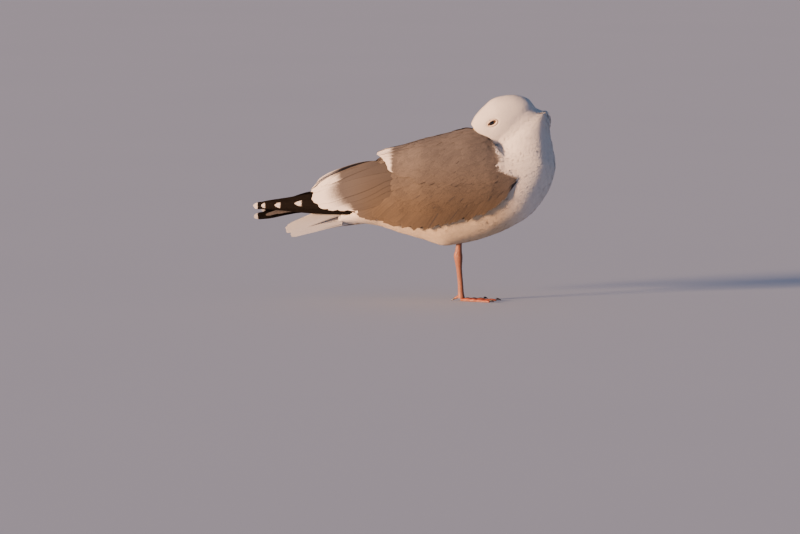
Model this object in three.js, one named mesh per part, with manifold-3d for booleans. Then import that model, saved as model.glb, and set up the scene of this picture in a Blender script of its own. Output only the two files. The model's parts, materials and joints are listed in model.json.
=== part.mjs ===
// A herring gull asleep on one leg, life size, in millimetres.
// +X is the way the breast faces, +Y the bird's left, +Z up. The origin is on the floor, under the sole.
// The head is turned right round, so that it faces the tail, and the bill lies between the scapulars.
import * as THREE from 'three';
import { mergeVertices } from 'three/addons/utils/BufferGeometryUtils.js';
import Module from 'manifold-3d';

const wasm = await Module();
wasm.setup();

// ---------- driving sizes ----------

const GAP = 0.3; // clearance between neighbouring nodes
const TARSUS_LENGTH = 69; // heel joint to the floor
const TARSUS_DEPTH = 8.6; // the shank, front to back
const TARSUS_WIDTH = 6.4;
const ANKLE_DEPTH = 14; // the heel joint is the thickest part of the leg
const BILL_LENGTH = 57; // forehead feathers to the hook
const BILL_DEPTH = 18.5;
const BILL_WIDTH = 13.5;
const EYEBALL_RADIUS = 8.5;
const EYE_OPENING = 13.6; // the slit between the lids of a dozing bird, corner to corner
const EYE_SLIT = 2.8; // half its height
const MIDDLE_TOE = 56; // joint to the claw's root
const FEATHER_THICK = 0.8; // one vane

// ---------- points, curves and solids ----------

const V = (x, y, z) => new THREE.Vector3(x, y, z);
const mix = THREE.MathUtils.lerp;
const clamp01 = (t) => THREE.MathUtils.clamp(t, 0, 1);
const through = (points) => new THREE.CatmullRomCurve3(points, false, 'centripetal');

// Smooth value at t, from 0 to 1, through evenly spaced numbers.
function smoothValues(values) {
  const line = through(values.map((value, i) => V(i, value, 0)));
  return (t) => line.getPoint(clamp01(t)).y;
}

// Each corner moved outward, so that every face next to it moves out by at least the distance given.
function grown(points, triangles, distance) {
  const faces = triangles.map((corners) => {
    const [a, b, c] = corners.map((k) => points[k]);
    return { corners, normal: b.clone().sub(a).cross(c.clone().sub(a)) };
  });
  const sums = points.map(() => V(0, 0, 0));
  const around = points.map(() => []);
  for (const { corners, normal } of faces) {
    if (normal.length() < 1e-6) continue;
    for (const k of corners) {
      const turn = corners.indexOf(k);
      const [here, next, other] = [0, 1, 2].map((step) => points[corners[(turn + step) % 3]]);
      const angle = next.clone().sub(here).angleTo(other.clone().sub(here));
      const unit = normal.clone().normalize();
      sums[k].addScaledVector(unit, angle);
      around[k].push(unit);
    }
  }
  return points.map((p, k) => {
    const way = sums[k].normalize();
    const least = around[k].reduce((low, unit) => Math.min(low, unit.dot(way)), 1);
    return p.clone().addScaledVector(way, distance / Math.max(least, 0.4));
  });
}

// A closed solid from vertices and triangles, turned outward if it came out inside out, and grown.
function solid(points, triangles, grow = 0) {
  const geometry = new THREE.BufferGeometry().setFromPoints(points);
  geometry.setIndex(triangles.flat());
  const merged = mergeVertices(geometry, 1e-4);
  const corners = [];
  for (let i = 0; i < merged.attributes.position.count; i++) {
    corners.push(V().fromBufferAttribute(merged.attributes.position, i));
  }
  const faces = [];
  const index = merged.index.array;
  let volume = 0;
  for (let i = 0; i < index.length; i += 3) {
    const face = [index[i], index[i + 1], index[i + 2]];
    if (new Set(face).size < 3) continue;
    const [a, b, c] = face.map((k) => corners[k]);
    volume += a.dot(b.clone().cross(c));
    faces.push(face);
  }
  const outward = volume > 0 ? faces : faces.map(([a, b, c]) => [a, c, b]);
  const placed = grow ? grown(corners, outward, grow) : corners;
  return new wasm.Manifold(new wasm.Mesh({
    numProp: 3,
    vertProperties: new Float32Array(placed.flatMap((p) => p.toArray())),
    triVerts: new Uint32Array(outward.flat()),
  }));
}

// Any closed three.js geometry as a solid.
function fromGeometry(geometry, grow = 0) {
  const points = [];
  for (let i = 0; i < geometry.attributes.position.count; i++) {
    points.push(V().fromBufferAttribute(geometry.attributes.position, i));
  }
  const index = geometry.index ? geometry.index.array : points.map((_, i) => i);
  const triangles = [];
  for (let i = 0; i < index.length; i += 3) triangles.push([index[i], index[i + 1], index[i + 2]]);
  return solid(points, triangles, grow);
}

const fuse = (pieces) => pieces.reduce((whole, piece) => whole.add(piece));
const cutBy = (whole, cutters) => cutters.reduce((left, cutter) => left.subtract(cutter), whole);

// The biggest closed body of a solid. Scraps that a cut leaves are dropped.
function largest(whole) {
  return whole.decompose().reduce((best, body) => (body.volume() > best.volume() ? body : best));
}

// Rings of equal count become a closed skin, with a pole point at each end.
function skinOver(rings, firstPole, lastPole, grow = 0) {
  const around = rings[0].length;
  const points = [...rings.flat(), firstPole, lastPole];
  const [first, last] = [points.length - 2, points.length - 1];
  const triangles = [];
  for (let i = 0; i + 1 < rings.length; i++) {
    for (let k = 0; k < around; k++) {
      const [a, b] = [i * around + k, i * around + ((k + 1) % around)];
      const [c, d] = [a + around, b + around];
      triangles.push([a, b, d], [a, d, c]);
    }
  }
  const end = (rings.length - 1) * around;
  for (let k = 0; k < around; k++) {
    const next = (k + 1) % around;
    triangles.push([first, next, k], [last, end + k, end + next]);
  }
  return solid(points, triangles, grow);
}

// ---------- bodies lofted over ribs ----------

// Each rib is [top x, top z, bottom x, bottom z, half width]. A rib's plane holds the Y axis.
function ribbed(ribs) {
  const top = through(ribs.map((r) => V(r[0], 0, r[1])));
  const bottom = through(ribs.map((r) => V(r[2], 0, r[3])));
  const half = smoothValues(ribs.map((r) => r[4]));
  return (t) => ({ top: top.getPoint(t), bottom: bottom.getPoint(t), half: half(t) });
}

// A point of the lofted skin: angle 0 is the top line, a quarter turn the bird's left.
function skinPoint(form, t, angle, squareness, out = 0) {
  const { top, bottom, half } = form(t);
  const middle = top.clone().lerp(bottom, 0.5);
  const up = top.clone().sub(middle);
  up.setLength(up.length() + out);
  const power = 2 / squareness;
  const along = Math.sign(Math.cos(angle)) * Math.abs(Math.cos(angle)) ** power;
  const aside = Math.sign(Math.sin(angle)) * Math.abs(Math.sin(angle)) ** power;
  return middle.addScaledVector(up, along).add(V(0, (half + out) * aside, 0));
}

function loft(form, { steps, around, squareness = 2.15, domes = [0, 0], grow = 0 }) {
  const rings = [];
  for (let i = 0; i <= steps; i++) {
    const ring = [];
    for (let k = 0; k < around; k++) {
      ring.push(skinPoint(form, i / steps, (2 * Math.PI * k) / around, squareness));
    }
    rings.push(ring);
  }
  const pole = (t, inward, dome) => {
    const [here, near] = [form(t), form(inward)];
    const middle = here.top.clone().lerp(here.bottom, 0.5);
    const outward = middle.clone().sub(near.top.clone().lerp(near.bottom, 0.5));
    return middle.add(outward.setLength(dome));
  };
  return skinOver(rings, pole(0, 0.02, domes[0]), pole(1, 0.98, domes[1]), grow);
}

// ---------- body, neck and head ----------

// From the tail coverts over the back and belly, up the breast and round to the nape.
const BODY_RIBS = [
  [-196, 143, -196, 127, 19],
  [-172, 151, -168, 125, 27],
  [-140, 186, -132, 121, 39],
  [-110, 216, -96, 109, 48],
  [-85, 236, -60, 99, 54],
  [-53, 250, -26, 89, 57],
  [-21, 261, 8, 94, 58],
  [8, 267, 43, 103, 58],
  [30, 263, 78, 118, 57],
  [45, 257, 110, 138, 55],
  [55, 253, 136, 170, 52],
  [60, 254, 151, 213, 48],
  [63, 261, 147, 245, 43],
  [67, 270, 142, 270, 39],
  [76, 286, 141, 292, 33],
  [96, 303, 138, 304, 23],
];
const NECK_AT = 0.735; // share of the ribs where the neck is parted from the torso
const bodyForm = ribbed(BODY_RIBS);
const bodyLoft = (grow) =>
  loft(bodyForm, { steps: 21, around: 18, squareness: 2.15, domes: [0.5, 5], grow });

// The head's own ribs, from the nape to the root of the bill.
const HEAD_RIBS = [
  [116, 314, 117, 290, 17],
  [105, 325, 108, 273, 26],
  [86, 330, 91, 262, 30.5],
  [67, 329, 75, 254, 31.5],
  [50, 324, 58, 250, 29.5],
  [35, 312, 44, 251, 25],
  [23, 299, 33, 256, 19.5],
  [15, 285, 24, 262, 13.5],
];
const HEAD_YAW = THREE.MathUtils.degToRad(7); // the face turns a little to the bird's right shoulder
const NAPE = V(108, 0, 300);
const headForm = ribbed(HEAD_RIBS);

// Moves a solid made in the head's own frame to the head's place.
function inHead(whole) {
  return whole
    .translate([-NAPE.x, -NAPE.y, -NAPE.z])
    .rotate([0, 0, THREE.MathUtils.radToDeg(HEAD_YAW)])
    .translate([NAPE.x, NAPE.y, NAPE.z]);
}

const headLoft = (grow) => inHead(loft(headForm, { steps: 12, around: 18, domes: [5, 3], grow }));

// The bill points back and down from the face, along its own axis.
const BILL_ROOT = V(22, 0, 266);
const BILL_WAY = V(-0.86, 0, -0.51).normalize();
const BILL_UP = V(BILL_WAY.z, 0, -BILL_WAY.x).normalize();

// One half of the bill, lofted from the face to the tip. The drop bends the hook down.
function mandible(outline, reach, grow) {
  const sides = 9;
  const rings = outline.map(([share, depth, width, drop = 0]) => {
    const ring = [];
    for (let k = 0; k < sides; k++) {
      const angle = (Math.PI * k) / (sides - 1);
      const lift = Math.sin(angle) * depth;
      ring.push(
        BILL_ROOT.clone()
          .addScaledVector(BILL_WAY, share * reach)
          .addScaledVector(BILL_UP, lift - drop + (Math.sign(depth) * GAP) / 2)
          .add(V(0, (Math.cos(angle) * width) / 2, 0)),
      );
    }
    return ring;
  });
  const centre = (ring) => ring.reduce((sum, p) => sum.add(p), V(0, 0, 0)).divideScalar(ring.length);
  return skinOver(rings, centre(rings[0]), centre(rings[rings.length - 1]), grow);
}

// [share of the length, depth from the gape line, width, drop], each but the first a share of the bill's own
const UPPER_BILL = [
  [-0.12, 0.56, 1.0, 0], [0.0, 0.55, 1.0, 0], [0.2, 0.5, 0.9, 0], [0.4, 0.45, 0.78, 0],
  [0.6, 0.44, 0.66, 0], [0.76, 0.43, 0.54, 0], [0.88, 0.36, 0.42, 0], [0.945, 0.3, 0.34, 0.04],
  [0.985, 0.26, 0.26, 0.14], [1.0, 0.16, 0.16, 0.25],
].map(([share, depth, width, drop]) => [share, depth * BILL_DEPTH, width * BILL_WIDTH, drop * BILL_DEPTH]);
const LOWER_BILL = [
  [-0.12, -0.4, 0.96], [0.0, -0.4, 0.96], [0.25, -0.38, 0.86], [0.5, -0.38, 0.72], [0.66, -0.42, 0.62],
  [0.78, -0.36, 0.48], [0.88, -0.2, 0.34], [0.93, -0.08, 0.2],
].map(([share, depth, width]) => [share, depth * BILL_DEPTH, width * BILL_WIDTH]);

// A plain hollow round the whole bill, for what lies over and under it.
function billPocket() {
  const stations = [[-0.1, 1.3], [0.3, 1.25], [0.7, 1.2], [1.08, 0.8]].map(([share, size]) => {
    const p = BILL_ROOT.clone().addScaledVector(BILL_WAY, share * BILL_LENGTH);
    p.addScaledVector(BILL_UP, BILL_DEPTH * 0.02);
    return [p.x, p.y, p.z, size * BILL_DEPTH, size * BILL_WIDTH];
  });
  return inHead(limb(stations, { around: 8, steps: 3 }));
}

const upperBill = (grow) => inHead(mandible(UPPER_BILL, BILL_LENGTH, grow));
const lowerBill = (grow) => inHead(mandible(LOWER_BILL, BILL_LENGTH, grow));

// Each nostril is a slot in the upper bill's side.
function nostrils() {
  const slot = new THREE.SphereGeometry(1, 10, 8);
  slot.scale(4.2, BILL_WIDTH * 0.8, 0.9);
  const turn = new THREE.Matrix4().makeBasis(BILL_WAY, V(0, 1, 0), BILL_UP.clone().negate());
  slot.applyMatrix4(turn);
  const place = BILL_ROOT.clone()
    .addScaledVector(BILL_WAY, BILL_LENGTH * 0.44)
    .addScaledVector(BILL_UP, BILL_DEPTH * 0.2);
  const core = new THREE.BoxGeometry(20, BILL_WIDTH * 0.34, 12);
  core.applyMatrix4(turn);
  [slot, core].forEach((piece) => piece.translate(place.x, place.y, place.z));
  return inHead(fromGeometry(slot).subtract(fromGeometry(core)));
}

// ---------- eyes ----------

const EYE_PLACE = V(45.5, 0, 287); // on the head's middle plane, level with the eye
const EYE_TILT = THREE.MathUtils.degToRad(28); // the slit slopes down towards the bill
const EYE_SUNK = 0.9; // the eyeball's front lies this far inside the feathered skin

// The head's half width where the eye is, found on the loft itself.
function cheekHalfWidth() {
  let best = null;
  for (let i = 0; i <= 120; i++) {
    for (let k = 0; k <= 90; k++) {
      const p = skinPoint(headForm, i / 120, (Math.PI * k) / 90, 2.15);
      const miss = Math.hypot(p.x - EYE_PLACE.x, p.z - EYE_PLACE.z);
      if (!best || miss < best.miss) best = { miss, half: p.y };
    }
  }
  return best.half;
}
const CHEEK = cheekHalfWidth();

function eyeball(side, grow) {
  const ball = new THREE.SphereGeometry(EYEBALL_RADIUS, 12, 8);
  ball.rotateX(Math.PI / 2);
  ball.translate(EYE_PLACE.x, side * (CHEEK - EYEBALL_RADIUS - EYE_SUNK), EYE_PLACE.z);
  return inHead(fromGeometry(ball, grow));
}

// The rim that the two lids make round a narrow slit, standing a little out of the cheek.
function lidRim(side) {
  const rim = new THREE.TorusGeometry(1, 0.9 / EYE_OPENING, 4, 14);
  const points = rim.attributes.position;
  for (let i = 0; i < points.count; i++) {
    const p = V().fromBufferAttribute(points, i);
    const round = V(p.x, p.y, 0).normalize();
    const tube = p.clone().sub(round).multiplyScalar(EYE_OPENING);
    const place = V(round.x * (EYE_OPENING / 2 + 0.6), round.y * (EYE_SLIT + 0.9), 0);
    points.setXYZ(i, ...place.add(tube).toArray());
  }
  rim.rotateX(Math.PI / 2);
  rim.rotateY(-EYE_TILT);
  rim.translate(EYE_PLACE.x, side * (CHEEK + 0.1), EYE_PLACE.z);
  return inHead(fromGeometry(rim));
}

// The slit itself, cut through the skin down to the eyeball.
function lidSlit(side) {
  const slot = new THREE.CylinderGeometry(1, 1, 14, 12);
  slot.scale(EYE_OPENING / 2, 1, EYE_SLIT);
  slot.rotateY(-EYE_TILT);
  slot.translate(EYE_PLACE.x, side * (CHEEK + 3), EYE_PLACE.z);
  return inHead(fromGeometry(slot));
}

// ---------- feathers ----------

// A curved sheet between an upper and a lower edge, for the bird's right side.
// Each station is [upper x, y, z, lower x, y, z, swell], and skew moves the swell towards the upper edge.
function sheet(stations, skew = 1) {
  const upper = through(stations.map((s) => V(s[0], s[1], s[2])));
  const lower = through(stations.map((s) => V(s[3], s[4], s[5])));
  const swell = smoothValues(stations.map((s) => s[6]));
  const outward = (u) => {
    const along = upper.getPoint(clamp01(u + 0.01)).sub(upper.getPoint(clamp01(u - 0.01)));
    const across = lower.getPoint(clamp01(u)).sub(upper.getPoint(clamp01(u)));
    return along.cross(across).normalize();
  };
  return (u, v) => {
    const base = upper.getPoint(clamp01(u)).lerp(lower.getPoint(clamp01(u)), v);
    const bulge = Math.sin(Math.PI * clamp01(v) ** skew);
    return base.addScaledVector(outward(u), swell(u) * bulge);
  };
}

function sheetNormal(surface, u, v) {
  const step = 0.012;
  const [u0, u1] = [clamp01(u - step), clamp01(u + step)];
  const [v0, v1] = [clamp01(v - step), clamp01(v + step)];
  const along = surface(u1, v).sub(surface(u0, v));
  const across = surface(u, v1).sub(surface(u, v0));
  return along.cross(across).normalize();
}

// A slab from a sheet's face inwards, over part of the sheet.
function slab(surface, { from = [0, 0], to = [1, 1], cells, depth, grow = 0 }) {
  const [nu, nv] = cells;
  const outer = [];
  const inner = [];
  for (let i = 0; i <= nu; i++) {
    for (let k = 0; k <= nv; k++) {
      const [u, v] = [mix(from[0], to[0], i / nu), mix(from[1], to[1], k / nv)];
      const normal = sheetNormal(surface, u, v);
      const face = surface(u, v);
      outer.push(face);
      inner.push(face.clone().addScaledVector(normal, -depth(u, v)));
    }
  }
  const points = [...outer, ...inner];
  const at = (i, k) => i * (nv + 1) + k;
  const under = outer.length;
  const triangles = [];
  for (let i = 0; i < nu; i++) {
    for (let k = 0; k < nv; k++) {
      const [a, b, c, d] = [at(i, k), at(i + 1, k), at(i + 1, k + 1), at(i, k + 1)];
      triangles.push([a, b, c], [a, c, d]);
      triangles.push([under + a, under + c, under + b], [under + a, under + d, under + c]);
    }
  }
  const rim = [];
  for (let i = 0; i < nu; i++) rim.push([at(i, 0), at(i + 1, 0)]);
  for (let k = 0; k < nv; k++) rim.push([at(nu, k), at(nu, k + 1)]);
  for (let i = nu; i > 0; i--) rim.push([at(i, nv), at(i - 1, nv)]);
  for (let k = nv; k > 0; k--) rim.push([at(0, k), at(0, k - 1)]);
  rim.forEach(([a, b]) => triangles.push([b, a, under + a], [b, under + a, under + b]));
  return solid(points, triangles, grow);
}

// One feather: a thin plate, cambered across, with its root sunk and its tip lifted.
// frameAt(s) gives the centre line's point, its normal and its sideways direction.
function vane(frameAt, { half, outline, thick = FEATHER_THICK, camber = 60, tilt = 0, grow = 0 }) {
  const rings = outline.map(([share, width]) => {
    const { point, normal, aside } = frameAt(share);
    const line = [-1, 0, 1].map((side) => {
      const reach = side * half * width;
      const drop = (half * width) ** 2 * side * side / (2 * camber);
      return point.clone().addScaledVector(aside, reach).addScaledVector(normal, tilt * reach - drop);
    });
    const top = line.map((p) => p.clone().addScaledVector(normal, thick / 2));
    const bottom = line.map((p) => p.clone().addScaledVector(normal, -thick / 2));
    return [...top, ...bottom.reverse()];
  });
  return plateSkin(rings, frameAt(1).point, grow);
}

// Rings of six, three above and three below, split into triangles alike on both faces.
function plateSkin(rings, tip, grow) {
  const points = [...rings.flat(), tip];
  const triangles = [];
  const sides = 6;
  for (let i = 0; i + 1 < rings.length; i++) {
    for (let k = 0; k < sides; k++) {
      const next = (k + 1) % sides;
      const [a, b, c, d] = [i * sides + k, i * sides + next, (i + 1) * sides + next, (i + 1) * sides + k];
      if (k < 3) triangles.push([a, b, c], [a, c, d]);
      else triangles.push([a, b, d], [b, c, d]);
    }
  }
  triangles.push([0, 2, 1], [0, 5, 2], [5, 4, 3], [5, 3, 2]);
  const last = (rings.length - 1) * sides;
  for (let k = 0; k < sides; k++) triangles.push([last + k, last + ((k + 1) % sides), points.length - 1]);
  return solid(points, triangles, grow);
}

// Where a feather lies on a sheet, from root [u, v] to tip [u, v], between two heights over it.
function layOn(surface, root, tip, rise, bow = 0) {
  const place = (s) => [
    mix(root[0], tip[0], s),
    mix(root[1], tip[1], s) + bow * Math.sin(Math.PI * s),
  ];
  return (s) => {
    const [u, v] = place(s);
    const normal = sheetNormal(surface, u, v);
    const [before, after] = [place(Math.max(s - 0.02, 0)), place(Math.min(s + 0.02, 1))];
    const along = surface(...after).sub(surface(...before)).normalize();
    const aside = normal.clone().cross(along).normalize();
    const lift = mix(rise[0], rise[1], s);
    return { point: surface(u, v).addScaledVector(normal, lift), normal, aside };
  };
}

// Outlines are [share of the length, share of the half width] for the rings before the tip.
const SMALL = [[0, 0.5], [0.55, 1], [0.88, 0.72]];
const LONG = [[0, 0.6], [0.4, 1], [0.78, 0.88], [0.94, 0.55]];

// A row of feathers on a sheet. Each line of a row interpolates from its first to its last feather.
function featherRow(surface, row, grow) {
  const feathers = [];
  for (let i = 0; i < row.count; i++) {
    const share = row.count > 1 ? i / (row.count - 1) : 0;
    const between = ([a, b]) => [mix(a[0], b[0], share), mix(a[1], b[1], share)];
    const [root, tip] = [between(row.roots), between(row.tips)];
    const frameAt = layOn(surface, root, tip, row.rise, row.bow);
    const half = mix(row.half[0], row.half[1], share);
    feathers.push(vane(frameAt, {
      half, outline: row.outline, thick: row.thick, tilt: row.tilt, camber: row.camber, grow,
    }));
  }
  return feathers;
}

// ---------- wings ----------

// The folded wing's face, from the wrist at the breast to the tips of the tertials over the tail.
const WING_STATIONS = [
  [82, -53, 219, 91, -55, 197, 1.5],
  [62, -47, 234, 75, -58, 176, 6],
  [38, -43, 243, 50, -58, 154, 12],
  [6, -41, 246, 14, -56, 137, 15],
  [-26, -38, 245, -21, -55, 128, 18],
  [-58, -29, 243, -54, -51, 119, 23],
  [-90, -15, 236, -91, -44, 121, 25],
  [-122, -6, 226, -123, -39, 134, 20],
  [-154, -3, 219, -152, -33, 137, 15],
  [-186, -2.5, 207, -174, -27, 142, 11],
  [-213, -2.5, 194, -206, -21, 147, 7],
  [-231, -2.5, 180, -226, -15, 157, 4],
];
const wingSheet = sheet(WING_STATIONS);
const WING_ROOM = 16; // the wing's depth over the flank, before the torso is taken out of it
const WING_LIP = 2.6; // its depth behind the body, where only feathers are left

const wingCore = (grow) => slab(wingSheet, {
  from: [0, 0], to: [0.84, 1], cells: [11, 4], grow,
  depth: (u, v) => {
    const room = mix(WING_ROOM, WING_LIP, THREE.MathUtils.smoothstep(u, 0.5, 0.68));
    return mix(room, Math.min(room, 5), THREE.MathUtils.smoothstep(v, 0.8, 1));
  },
});

const WING_ROWS = [
  // lesser coverts, over the wrist and the fore edge of the wing
  { count: 4, roots: [[0.02, 0.5], [0.26, 0.42]], tips: [[0.1, 0.83], [0.34, 0.64]], half: [9, 10],
    rise: [-1.4, 1.5], outline: SMALL, tilt: 0.05 },
  // median coverts
  { count: 5, roots: [[0.12, 0.5], [0.46, 0.42]], tips: [[0.21, 0.86], [0.57, 0.66]], half: [11, 12],
    rise: [-1.4, 1.5], outline: SMALL, tilt: 0.05 },
  // greater coverts, along the wing's lower edge
  { count: 6, roots: [[0.12, 0.7], [0.52, 0.52]], tips: [[0.25, 0.99], [0.71, 0.93]], half: [12, 14],
    rise: [-1.6, 0.9], outline: SMALL, tilt: 0.05 },
  // secondaries, whose tips show below the tertials
  { count: 2, roots: [[0.58, 0.72], [0.6, 0.64]], tips: [[0.78, 1], [0.82, 0.97]], half: [11, 11],
    rise: [-1.2, 0.4], outline: SMALL, tilt: 0.03 },
  // tertials, the broad feathers over the wing's end
  { count: 4, roots: [[0.58, 0.62], [0.52, 0.12]], tips: [[0.86, 0.92], [0.985, 0.34]], half: [15, 17],
    rise: [-1.2, 1.4], outline: SMALL, tilt: 0.05 },
];
const wingFeathers = (grow) => WING_ROWS.flatMap((row) => featherRow(wingSheet, row, grow));

// The long flight feathers, a blade that narrows towards the wing's tip.
const BLADE_STATIONS = [
  [-128, -16, 190, -128, -30, 139, 3],
  [-165, -13, 183, -165, -27, 137.5, 4],
  [-200, -10, 178, -200, -22, 138, 4],
  [-240, -7, 175, -240, -17, 139.5, 3],
  [-280, -5, 168, -280, -12, 144, 2],
  [-310, -4, 163, -310, -9, 147, 1],
  [-331, -3, 158, -331, -7, 149, 0.5],
];
// Tips in shares of the blade, from the outermost primary to the innermost that shows.
const PRIMARY_TIPS = [[1, 0.5], [0.945, 0.5], [0.855, 0.48], [0.73, 0.44], [0.6, 0.36], [0.5, 0.3]];
const PRIMARY_LAYER = 1.15; // each primary lies this much above the one outside it

function primaryFan(droop, grow) {
  const lowered = BLADE_STATIONS.map(([x, y, z, lx, ly, lz, swell]) => {
    const fall = droop * THREE.MathUtils.smoothstep(-x, 240, 325);
    return [x, y, z - fall, lx, ly, lz - fall, swell];
  });
  const blade = sheet(lowered);
  const last = PRIMARY_TIPS.length - 1;
  const feathers = PRIMARY_TIPS.map((tip, i) => {
    const root = [0.04, mix(0.72, 0.3, i / last)];
    const level = i * PRIMARY_LAYER - 3;
    return vane(layOn(blade, root, tip, [level, level]), {
      half: mix(11.5, 10, i / last), outline: LONG, camber: 40, grow,
    });
  });
  const hand = slab(blade, {
    from: [0, 0.16], to: [0.16, 0.9], cells: [2, 3], depth: () => 6, grow,
  });
  const lift = last * PRIMARY_LAYER;
  const root = slab(sheet(lowered.map((s) => [s[0], s[1] - 2.5, s[2], s[3], s[4] - 2.5, s[5], s[6]])), {
    from: [0, 0.2], to: [0.1, 0.86], cells: [2, 3], depth: () => lift + 3, grow,
  });
  return fuse([root, hand, ...feathers]);
}

// ---------- scapulars ----------

// They lie over the wing's upper half and meet over the back. Their hindmost tips are white.
const SCAPULAR_STATIONS = [
  [50, -34, 259, 75, -58, 209, 5],
  [36, -20, 271, 46, -65, 198, 12],
  [12, -9, 277, 5, -70, 193, 18],
  [-20, -2.5, 268, -35, -71, 190, 21],
  [-50, -2, 259, -68, -65, 195, 21],
  [-82, -2, 250, -95, -54, 205, 16],
  [-110, -3, 243, -115, -40, 219, 9],
  [-137, -7, 235, -134, -28, 227, 3],
];
const scapularSheet = sheet(SCAPULAR_STATIONS, 0.7);
const scapularCore = (grow) => slab(scapularSheet, {
  from: [0, 0], to: [0.9, 0.97], cells: [9, 4], grow,
  depth: (u, v) => mix(16, 4, Math.max(THREE.MathUtils.smoothstep(u, 0.55, 0.9), v ** 3)),
});
const SCAPULAR_ROWS = [
  { count: 3, roots: [[0.04, 0.25], [0.06, 0.72]], tips: [[0.22, 0.3], [0.26, 0.95]], half: [13, 13],
    rise: [-1.4, 1.6], outline: SMALL, tilt: 0.05, camber: 45 },
  { count: 4, roots: [[0.22, 0.2], [0.24, 0.78]], tips: [[0.42, 0.22], [0.46, 1]], half: [13, 13],
    rise: [-1.4, 1.6], outline: SMALL, tilt: 0.05, camber: 45 },
  { count: 4, roots: [[0.42, 0.18], [0.44, 0.78]], tips: [[0.65, 0.2], [0.69, 1]], half: [13, 13],
    rise: [-1.4, 1.4], outline: SMALL, tilt: 0.05, camber: 45 },
  { count: 4, roots: [[0.6, 0.2], [0.62, 0.75]], tips: [[0.99, 0.34], [0.87, 1]], half: [13, 12],
    rise: [-1.2, 1.2], outline: SMALL, tilt: 0.04, camber: 40 },
];
const scapularFeathers = (grow) =>
  SCAPULAR_ROWS.flatMap((row) => featherRow(scapularSheet, row, grow));

// ---------- tail ----------

const TAIL_PAIRS = 6;
const TAIL_ROOT = V(-197, 0, 135);
const TAIL_LENGTH = 83; // what shows beyond the coverts
const TAIL_HALF_SPREAD = 25; // the folded tail's half width at its end

// One tail feather: place 0 is the middle pair, which lies on top, and 1 the outermost, lowest and shortest.
function tailFeather(side, place, grow) {
  const layer = -place * (TAIL_PAIRS - 1) * 1.25 - (side > 0 ? 0.55 : 0);
  const roll = side * mix(0.06, 0.62, place);
  const frameAt = (s) => {
    const out = side * mix(3 + 8 * place, 5 + TAIL_HALF_SPREAD * place, s);
    const fall = mix(0, 15 + 8 * place, s ** 1.15) + place * mix(1, 3, s);
    const back = (TAIL_LENGTH + 7 - 9 * place) * s;
    const point = V(TAIL_ROOT.x + 7 - back, out, TAIL_ROOT.z + 4.4 + layer * 0.8 - fall);
    const normal = V(0.14, roll, 1).normalize();
    const aside = V(-1, 0, 0).cross(normal).normalize();
    return { point, normal, aside };
  };
  return vane(frameAt, { half: 12.5, outline: TAIL_OUTLINE, camber: 70, grow });
}
const TAIL_OUTLINE = [[0, 0.5], [0.45, 0.95], [0.9, 0.96], [0.975, 0.62]];

function tailFan(grow) {
  const feathers = [];
  for (let i = 0; i < TAIL_PAIRS; i++) {
    for (const side of [-1, 1]) feathers.push(tailFeather(side, i / (TAIL_PAIRS - 1), grow));
  }
  const base = new THREE.CylinderGeometry(1, 1, 9, 18);
  base.rotateZ(Math.PI / 2);
  base.scale(1, 18, 7);
  base.translate(TAIL_ROOT.x - 1.5, 0, TAIL_ROOT.z);
  return fuse([fromGeometry(base, grow), ...feathers]);
}

// ---------- legs ----------

// A tube of elliptical sections along a line: each station is [x, y, z, depth along X, width along Y].
function limb(stations, { around = 14, steps = 14, grow = 0, domes = [1, 1] } = {}) {
  const line = through(stations.map((s) => V(s[0], s[1], s[2])));
  const depth = smoothValues(stations.map((s) => s[3]));
  const width = smoothValues(stations.map((s) => s[4]));
  const rings = [];
  const axis = (t) => line.getPoint(clamp01(t + 0.01)).sub(line.getPoint(clamp01(t - 0.01))).normalize();
  const run = line.getPoint(1).sub(line.getPoint(0)).normalize();
  const ahead = Math.abs(run.x) > 0.7 ? V(0, 0, 1) : V(1, 0, 0);
  for (let i = 0; i <= steps; i++) {
    const t = i / steps;
    const forward = ahead.clone().addScaledVector(axis(t), -ahead.dot(axis(t))).normalize();
    const aside = axis(t).cross(forward).normalize();
    const ring = [];
    for (let k = 0; k < around; k++) {
      const angle = (2 * Math.PI * k) / around;
      ring.push(
        line.getPoint(t)
          .addScaledVector(forward, (Math.cos(angle) * depth(t)) / 2)
          .addScaledVector(aside, (Math.sin(angle) * width(t)) / 2),
      );
    }
    rings.push(ring);
  }
  const first = line.getPoint(0).addScaledVector(axis(0), -domes[0]);
  const last = line.getPoint(1).addScaledVector(axis(1), domes[1]);
  return skinOver(rings, first, last, grow);
}

const FOOT = V(0, -2, 0); // the standing foot's joint, over the floor
const ANKLE_HEIGHT = TARSUS_LENGTH + 4;
const shankStations = [
  [FOOT.x + 0.5, FOOT.y, 5, TARSUS_DEPTH + 3, TARSUS_WIDTH + 4],
  [FOOT.x, FOOT.y, 12, TARSUS_DEPTH + 1, TARSUS_WIDTH + 1.2],
  [FOOT.x - 1, FOOT.y, 30, TARSUS_DEPTH, TARSUS_WIDTH],
  [FOOT.x - 3, FOOT.y - 1, 52, TARSUS_DEPTH + 0.6, TARSUS_WIDTH + 0.4],
  [FOOT.x - 4, FOOT.y - 2, ANKLE_HEIGHT - 6, ANKLE_DEPTH - 1, TARSUS_WIDTH + 3.4],
  [FOOT.x - 4.5, FOOT.y - 2, ANKLE_HEIGHT, ANKLE_DEPTH, TARSUS_WIDTH + 4],
  [FOOT.x - 4, FOOT.y - 3, ANKLE_HEIGHT + 7, ANKLE_DEPTH - 3, TARSUS_WIDTH + 2.4],
  [FOOT.x - 3, FOOT.y - 4, ANKLE_HEIGHT + 20, ANKLE_DEPTH - 5, TARSUS_WIDTH + 2],
  [FOOT.x - 2, FOOT.y - 6, ANKLE_HEIGHT + 32, ANKLE_DEPTH - 4, TARSUS_WIDTH + 3],
];

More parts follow.
